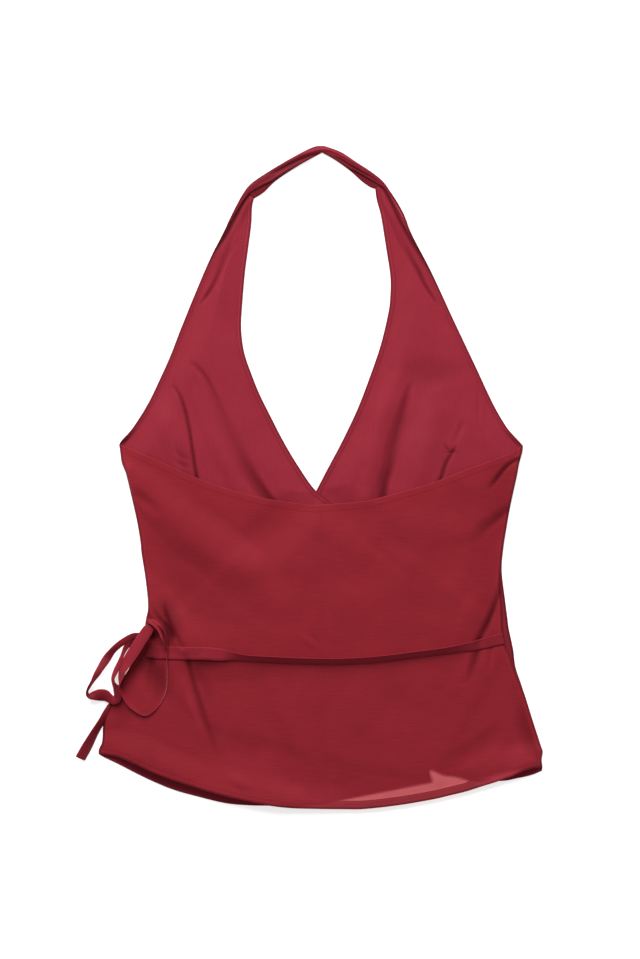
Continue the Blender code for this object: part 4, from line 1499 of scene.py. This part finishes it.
@dataclass
class Belt:
    """The tie that crosses the back, from the slit in the right side seam to the knot. It lies
    flat beside the knot, then rolls on itself until near the seam.

    Columns of the route: x, y, how far it has rolled, 0 to 1.
    """

    width: float = 13.5
    stations: int = 260
    around: int = 21
    thick: float = 0.7
    knot_shade: float = 0.6
    knot_x: float = -172.0
    shade_reach: float = 22.0
    sway: Ripple = Ripple(seed=3, height=0.25, shortest=14, longest=50)
    lift_off: float = 0.25
    route: Rows = (
        (-174, -184.5, 0.0), (-166, -186.2, 0.0), (-150, -186.8, 0.0), (-130, -187, 0.0),
        (-111, -187.4, 0.0), (-97, -188.4, 0.1), (-84, -189.4, 0.55), (-67, -191.5, 0.9),
        (-46, -192.8, 1.0), (-10, -194.5, 1.0),
        (32, -195, 1.0), (70, -192.8, 1.0), (110, -188, 1.0), (145, -183.5, 0.85), (171, -179.5, 0.55),
        (187, -176, 0.4), (198, -173, 0.35), (205.5, -171.3, 0.3),
    )
    # Section from the lower edge to the upper: how far across and how high, in widths
    flat_section: Rows = (
        (-0.50, 0.0), (-0.40, 0.02), (-0.2, 0.02), (0.0, 0.02), (0.2, 0.02), (0.40, 0.02), (0.50, 0.0),
    )
    rolled_section: Rows = (
        (-0.27, 0.0), (-0.22, 0.08), (-0.14, 0.17), (-0.04, 0.26), (0.07, 0.36), (0.17, 0.46), (0.24, 0.55),
    )

    def build(self, top_of_back: HeightAt) -> bpy.types.Object:
        """Makes the belt on the back.

        Args:
            top_of_back: The function for the height of the back's upper side.

        Returns:
            The piece.
        """
        path = at_share(smooth(self.route), np.linspace(0, 1, self.stations))
        run = np.gradient(path[:, :2], axis=0)
        run /= np.linalg.norm(run, axis=1, keepdims=True)
        across = np.stack([-run[:, 1], run[:, 0]], -1)
        steps = np.linspace(0, 1, self.around)
        flat = at_share(smooth(self.flat_section), steps)
        rolled = at_share(smooth(self.rolled_section), steps)
        roll = smoothstep(path[:, 2])[:, None, None]
        section = (flat[None] * (1 - roll) + rolled[None] * roll) * self.width
        place = path[:, None, :2] + across[:, None] * section[..., :1]
        roll = roll[..., 0]
        back = top_of_back(place)
        ground = back.max(axis=1, keepdims=True) * roll + back * (1 - roll)
        sway = np.maximum(self.sway.lift(place), 0) * roll
        height = ground + self.lift_off + section[..., 1] + sway
        points = np.concatenate([place, height[..., None]], -1)
        gone = lengths_along(path)
        grain = np.stack(np.broadcast_arrays(steps[None] * self.width, gone[:, None]), -1)
        from_knot = (place[..., 0] - self.knot_x) / self.shade_reach
        beside_knot = self.knot_shade * (1 - smoothstep(from_knot))
        points = points.transpose(1, 0, 2)
        piece = make_mesh(
            "tie_belt_cloth", points, grid_faces(*points.shape[:2]), MATERIALS[Finish.TIE],
            grain.transpose(1, 0, 2), None, beside_knot.T,
        )
        give_wall(piece, self.thick)
        return declare(piece, "tie_belt")


@dataclass
class Bow:
    """The knot at the left side, its long and short loops and the free end."""

    width: float = 13.5
    tail_under: int = 5  # rows of the tail's route that the garment lies on
    tail_route: Rows = (
        (-171, -166, 1.0, 0, 11.0, 0.4, 0.4),
        (-176, -185, 1.0, 0, 12.0, 0.4, 0.4),
        (-188, -208, 1.0, 0, 11.0, 0.4, 0.4),
        (-202, -231, 1.1, 0, 9.0, 0.4, 0.4),
        (-214, -246.5, 1.9, -12, 8.0, 0.5, 0.5),
        (-221, -258.5, 3.9, -42, 10.0, 0.45, 0.5),
        (-229.5, -272.5, 4.8, -46, 12.0, 0.3, 0.35),
        (-237.5, -287, 4.2, -34, 12.8, 0.15, 0.2),
        (-244.8, -299.8, 3.4, -26, 12.0, 0.1, 0.1),
    )
    long_loop: Rows = (
        (-166.6, -154.5, 9.6, 0, 6.5, 0.7, 0.8),
        (-169.4, -158.0, 11.2, 6, 9.4, 0.5, 0.7),
        (-173.0, -162.9, 12.6, 10, 12.0, 0.12, 0.25),
        (-180.3, -173.8, 13.2, 16, 12.8, 0.05, 0.12),
        (-187.4, -185.0, 13.2, 20, 13.2, 0.0, 0.08),
        (-193.8, -194.9, 12.6, 28, 12.8, 0.0, 0.08),
        (-198.8, -203.5, 11.6, 48, 12.6, 0.0, 0.12),
        (-201.4, -210.9, 10.4, 54, 11.8, 0.0, 0.15),
        (-202.6, -217.5, 9.2, 74, 9.6, 0.0, 0.15),
        (-202.2, -224.0, 8.0, 104, 7.2, 0.0, 0.1),
        (-198.4, -231.6, 6.8, 126, 7.0, 0.0, 0.1),
        (-194.0, -238.4, 6.2, 134, 7.6, 0.05, 0.12),
        (-189.0, -243.8, 6.0, 138, 7.6, 0.1, 0.15),
        (-183.6, -247.8, 5.8, 140, 7.4, 0.2, 0.3),
        (-177.6, -251.2, 5.6, 140, 7.0, 0.45, 0.5),
        (-171.8, -250.8, 5.4, 134, 6.0, 0.45, 0.5),
        (-165.4, -246.2, 5.2, 126, 5.0, 0.1, 0.2),
        (-159.4, -239.2, 5.0, 118, 4.0, -0.15, 0.0),
        (-155.0, -231.0, 5.0, 112, 3.4, -0.4, -0.3),
        (-153.0, -222.8, 5.1, 108, 3.2, -0.45, -0.35),
        (-152.4, -213.2, 5.4, 106, 3.2, -0.45, -0.35),
        (-152.4, -199.2, 6.4, 104, 3.6, -0.2, -0.15),
        (-152.2, -186.4, 8.0, 98, 5.0, 0.05, 0.1),
        (-152.0, -178.9, 9.2, 100, 6.0, 0.3, 0.3),
    )
    short_loop: Rows = (
        (-178.5, -168.5, 9.2, -6, 6.0, 0.6, 0.6),
        (-187.6, -168.6, 8.8, -10, 6.4, 0.25, 0.7),
        (-197.2, -173.9, 8.2, -18, 7.4, 0.0, 0.2),
        (-204.6, -179.4, 8.0, -28, 8.0, 0.0, 0.15),
        (-210.8, -185.6, 7.8, -40, 9.4, 0.15, 0.15),
        (-217.9, -195.2, 7.4, -12, 9.0, -0.12, -0.1),
        (-224.4, -205.4, 6.6, -14, 7.4, -0.14, -0.1),
        (-230.4, -215.8, 5.8, -62, 8.6, 0.0, 0.05),
        (-235.0, -223.4, 5.4, -74, 9.4, 0.35, 0.4),
        (-237.4, -228.8, 5.2, -80, 8.8, 0.5, 0.5),
        (-235.6, -232.4, 4.8, -60, 8.6, 0.2, 0.45),
        (-230.6, -232.4, 4.4, -14, 9.6, 0.2, 0.5),
        (-225.0, -232.0, 4.2, 8, 12.6, 0.25, 0.65),
        (-218.6, -232.4, 4.2, 12, 13.2, 0.2, 0.65),
        (-213.8, -235.4, 4.6, 8, 10.0, 0.3, 0.55),
        (-209.4, -238.0, 5.4, -4, 8.4, 0.25, 0.35),
        (-205.6, -236.0, 6.6, -24, 9.0, 0.3, 0.5),
        (-204.8, -230.4, 7.6, -30, 10.2, 0.35, 0.55),
        (-206.0, -224.6, 7.8, -34, 10.2, 0.35, 0.5),
        (-209.2, -219.0, 7.4, -54, 7.8, 0.15, 0.4),
        (-209.8, -213.0, 7.2, -56, 8.0, 0.05, 0.15),
        (-206.4, -204.8, 7.2, -42, 8.0, 0.0, 0.15),
        (-202.6, -196.6, 7.2, -44, 7.4, 0.0, 0.15),
        (-199.4, -188.0, 7.2, -48, 6.4, 0.05, 0.2),
        (-195.8, -180.4, 7.2, -24, 6.6, 0.5, 0.7),
        (-190.6, -173.8, 7.4, -8, 8.0, 0.85, 0.9),
        (-185.5, -168.5, 7.4, 0, 8.0, 0.95, 0.95),
    )
    knot_arc: Rows = (
        (-153.4, -182.0, 8.6, 76, 6.0, 0.35, 0.35),
        (-155.0, -174.6, 10.4, 70, 6.2, 0.2, 0.3),
        (-157.4, -168.2, 11.8, 66, 6.2, -0.1, 0.1),
        (-159.6, -162.9, 12.4, 60, 5.8, -0.05, 0.1),
        (-164.2, -156.8, 12.6, 46, 5.8, 0.05, 0.15),
        (-169.6, -153.2, 12.0, 30, 5.6, 0.15, 0.25),
        (-174.0, -152.6, 10.0, 14, 5.0, 0.5, 0.6),
    )
    knot_wrap: Rows = (
        (-151.0, -178.0, 7.6, 84, 5.0, 0.4, 0.4),
        (-151.4, -172.5, 8.4, 78, 5.2, 0.5, 0.8),
        (-152.8, -167.0, 9.2, 72, 5.4, 0.4, 0.85),
        (-155.4, -161.0, 9.8, 62, 5.6, 0.3, 0.8),
        (-159.6, -156.0, 10.2, 48, 5.6, 0.05, 0.5),
        (-165.0, -153.0, 10.0, 34, 5.4, 0.1, 0.4),
        (-171.0, -152.2, 9.0, 20, 5.0, 0.4, 0.5),
    )

    def build(self) -> list[bpy.types.Object]:
        """Makes the parts of the bow, each closed at its ends."""
        made = []
        for name, route in (
            ("tie_loop_long", self.long_loop), ("tie_loop_short", self.short_loop),
            ("tie_tail", self.tail_route), ("tie_knot", self.knot_arc),
            ("tie_knot_wrap", self.knot_wrap),
        ):
            # The wrap is a detail of the knot, whose node the piece tie_knot stands for
            node = None if name == "tie_knot_wrap" else name
            ribbon = Ribbon(route)
            piece = ribbon.piece(f"{name}_cloth", Finish.TIE)
            length = float(lengths_along(ribbon.path(), 3)[-1] * MM)
            made.append(declare(piece, node))
        return made


# ---------------------------------------------------------------------------------------------
# Stitches
# ---------------------------------------------------------------------------------------------
STITCH_CLEAR = 1.5  # between the back's top edge and the nearest stitch of a front
STITCHES_END_Y = 296.0  # the neck band covers the fronts' stitches from here on


@dataclass
class StitchRow:
    """A row of machine stitches along a hem, on the face that shows.

    Each stitch is a slim rod of six quads that lies half in the cloth.
    """

    edge: Rows
    inset: float
    top_of_cloth: HeightAt
    keep: Callable[[Array], Array] | None = None
    pitch: float = 2.9
    length: float = 2.3
    radius: float = 0.13

    def rods(self) -> tuple[Array, Array]:
        """Corners and quads of all its rods."""
        path = smooth(self.edge)
        run = lengths_along(path)
        count = int(run[-1] / self.pitch)
        places = (np.arange(count) + 0.5) * self.pitch
        ends = np.stack([places - self.length / 2, places + self.length / 2], -1)
        middle = np.stack([np.interp(ends, run, path[:, k]) for k in (0, 1)], -1)
        along = middle[:, 1] - middle[:, 0]
        along /= np.linalg.norm(along, axis=1, keepdims=True)
        aside = np.stack([-along[:, 1], along[:, 0]], -1)
        middle = middle + (aside * self.inset)[:, None]
        if self.keep is not None:
            kept = self.keep(middle.mean(axis=1))
            middle, aside = middle[kept], aside[kept]
        low = self.top_of_cloth(middle)
        corners = []
        for side, rise in ((-1, -1), (1, -1), (1, 1), (-1, 1)):
            spot = middle + side * self.radius * aside[:, None]
            corners.append(np.concatenate([spot, (low + rise * self.radius)[..., None]], -1))
        points = np.stack(corners, 2).reshape(-1, 3)
        rod = np.array([
            (0, 1, 2, 3), (4, 7, 6, 5), (0, 4, 5, 1), (1, 5, 6, 2), (2, 6, 7, 3), (3, 7, 4, 0),
        ])
        faces = (np.arange(len(middle))[:, None, None] * 8 + rod).reshape(-1, 4)
        return points, faces


def stitch_all(fronts: Fronts, back: Back, stack: Stack) -> None:
    """Makes the stitches of the hems as one piece.

    Args:
        fronts: The fronts, whose neck and armhole hems are stitched.
        back: The back, whose top and bottom hems are stitched.
        stack: How the panels lie.
    """
    def shows(points: Array) -> Array:
        """True where a front's stitch lies clear of the back and of the neck band."""
        distance, side, _ = near_path(points, smooth(TOP_BACK))
        return (side > 0) & (distance > STITCH_CLEAR) & (points[:, 1] < STITCHES_END_Y)

    def on_front(is_inner: bool) -> HeightAt:
        """The function for the height of a front's upper side."""
        return lambda points: fronts.height(points, stack, is_inner) + fronts.wall + fronts.clearance

    def on_back(points: Array) -> Array:
        """Height of the back's upper side."""
        return back.top(points, stack)

    neck, armhole = fronts.neck_hem - STITCH_INSET, fronts.armhole_hem - STITCH_INSET
    rows = (
        StitchRow(NECK_INNER, -neck, on_front(True), shows),
        StitchRow(NECK_OUTER, neck, on_front(False), shows),
        StitchRow(ARMHOLE_LEFT, armhole, on_front(True), shows),
        StitchRow(ARMHOLE_RIGHT, -armhole, on_front(False), shows),
        StitchRow(TOP_BACK, STITCH_INSET - back.top_hem, on_back),
        StitchRow(HEM_BACK, back.bottom_hem - STITCH_INSET, on_back),
    )
    points, faces = joined([row.rods() for row in rows])
    piece = make_mesh("hem_stitches", points, faces, MATERIALS[Finish.THREAD])
    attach(piece, "root")
    LOG.info("hem_stitches: %d quads", len(faces))


# ---------------------------------------------------------------------------------------------
# Studio
# ---------------------------------------------------------------------------------------------
@dataclass
class Studio:
    """A white table that is lit evenly, a broad light from the upper left and a soft fill."""

    picture_height: float = 1.0233
    centre: tuple[float, float] = (0.0105, -0.0023)
    lens: float = 80.0
    sensor: float = 36.0
    table: float = 8.0
    gap_mm: float = 0.3
    table_glow: float = 0.62
    key_power: float = 105.0
    key_size: float = 2.4
    key_place: tuple[float, float, float] = (-0.5, 2.35, 1.8)
    fill: float = 0.26

    def camera(self) -> None:
        """A camera straight above. Its distance makes the picture's height cover picture_height
        on the table: distance over lens is height over the sensor's long side."""
        data = bpy.data.cameras.new("camera")
        data.lens, data.sensor_width, data.sensor_fit = self.lens, self.sensor, "AUTO"
        data.clip_end = 20.0
        camera = new_object("camera", data)
        camera.location = (*self.centre, self.picture_height * self.lens / self.sensor)
        bpy.context.scene.camera = camera

    def floor(self) -> None:
        """The table, just under the garment."""
        half = self.table / 2
        corners = np.array([[[-half, -half, 0], [half, -half, 0]], [[-half, half, 0], [half, half, 0]]])
        material, tree = new_material("white_paint_matt")
        give_surface(tree, {
            "Base Color": (0.9, 0.9, 0.9, 1.0), "Roughness": 0.9, "Specular IOR Level": 0.0,
            "Emission Color": (1.0, 1.0, 1.0, 1.0), "Emission Strength": self.table_glow,
        })
        under = (0, 0, self.gap_mm)
        floor = make_mesh("table", corners / MM - under, grid_faces(2, 2), material)

    def lights(self) -> None:
        """The key light and the even fill of the room."""
        data = bpy.data.lights.new("key", "AREA")
        data.shape, data.size = "DISK", self.key_size
        data.energy = self.key_power
        key = new_object("key", data)
        key.location = reach = self.key_place
        lean = math.atan2(math.hypot(reach[0], reach[1]), reach[2])
        key.rotation_euler = (lean, 0.0, math.atan2(reach[1], reach[0]) + math.pi / 2)
        world = bpy.data.worlds.new("room")
        world.use_nodes = True
        background = world.node_tree.nodes["Background"]
        background.inputs[0].default_value = (1.0, 1.0, 1.0, 1.0)
        background.inputs[1].default_value = self.fill
        bpy.context.scene.world = world

    def build(self) -> None:
        """Sets up all of it, with colours shown as they are."""
        bpy.context.scene.view_settings.view_transform = "Standard"
        bpy.context.scene.view_settings.look = "None"
        self.camera()
        self.floor()
        self.lights()


def main() -> None:
    """Builds the garment piece by piece, then the studio."""
    logging.basicConfig(level=logging.INFO, format="%(message)s")
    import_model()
    for finish in Finish:
        MATERIALS[finish] = finish.value.material()
    stack = Stack(Pattern.laid_out(), [row[:2] for row in Bow.tail_route[: Bow.tail_under]])
    fronts, back = Fronts(), Back()
    fronts.build(stack)
    back.build(stack)
    NeckBand().build(stack)
    Belt().build(lambda points: back.top(points, stack))
    Bow().build()
    stitch_all(fronts, back, stack)
    Studio().build()


if __name__ == "__main__":
    main()
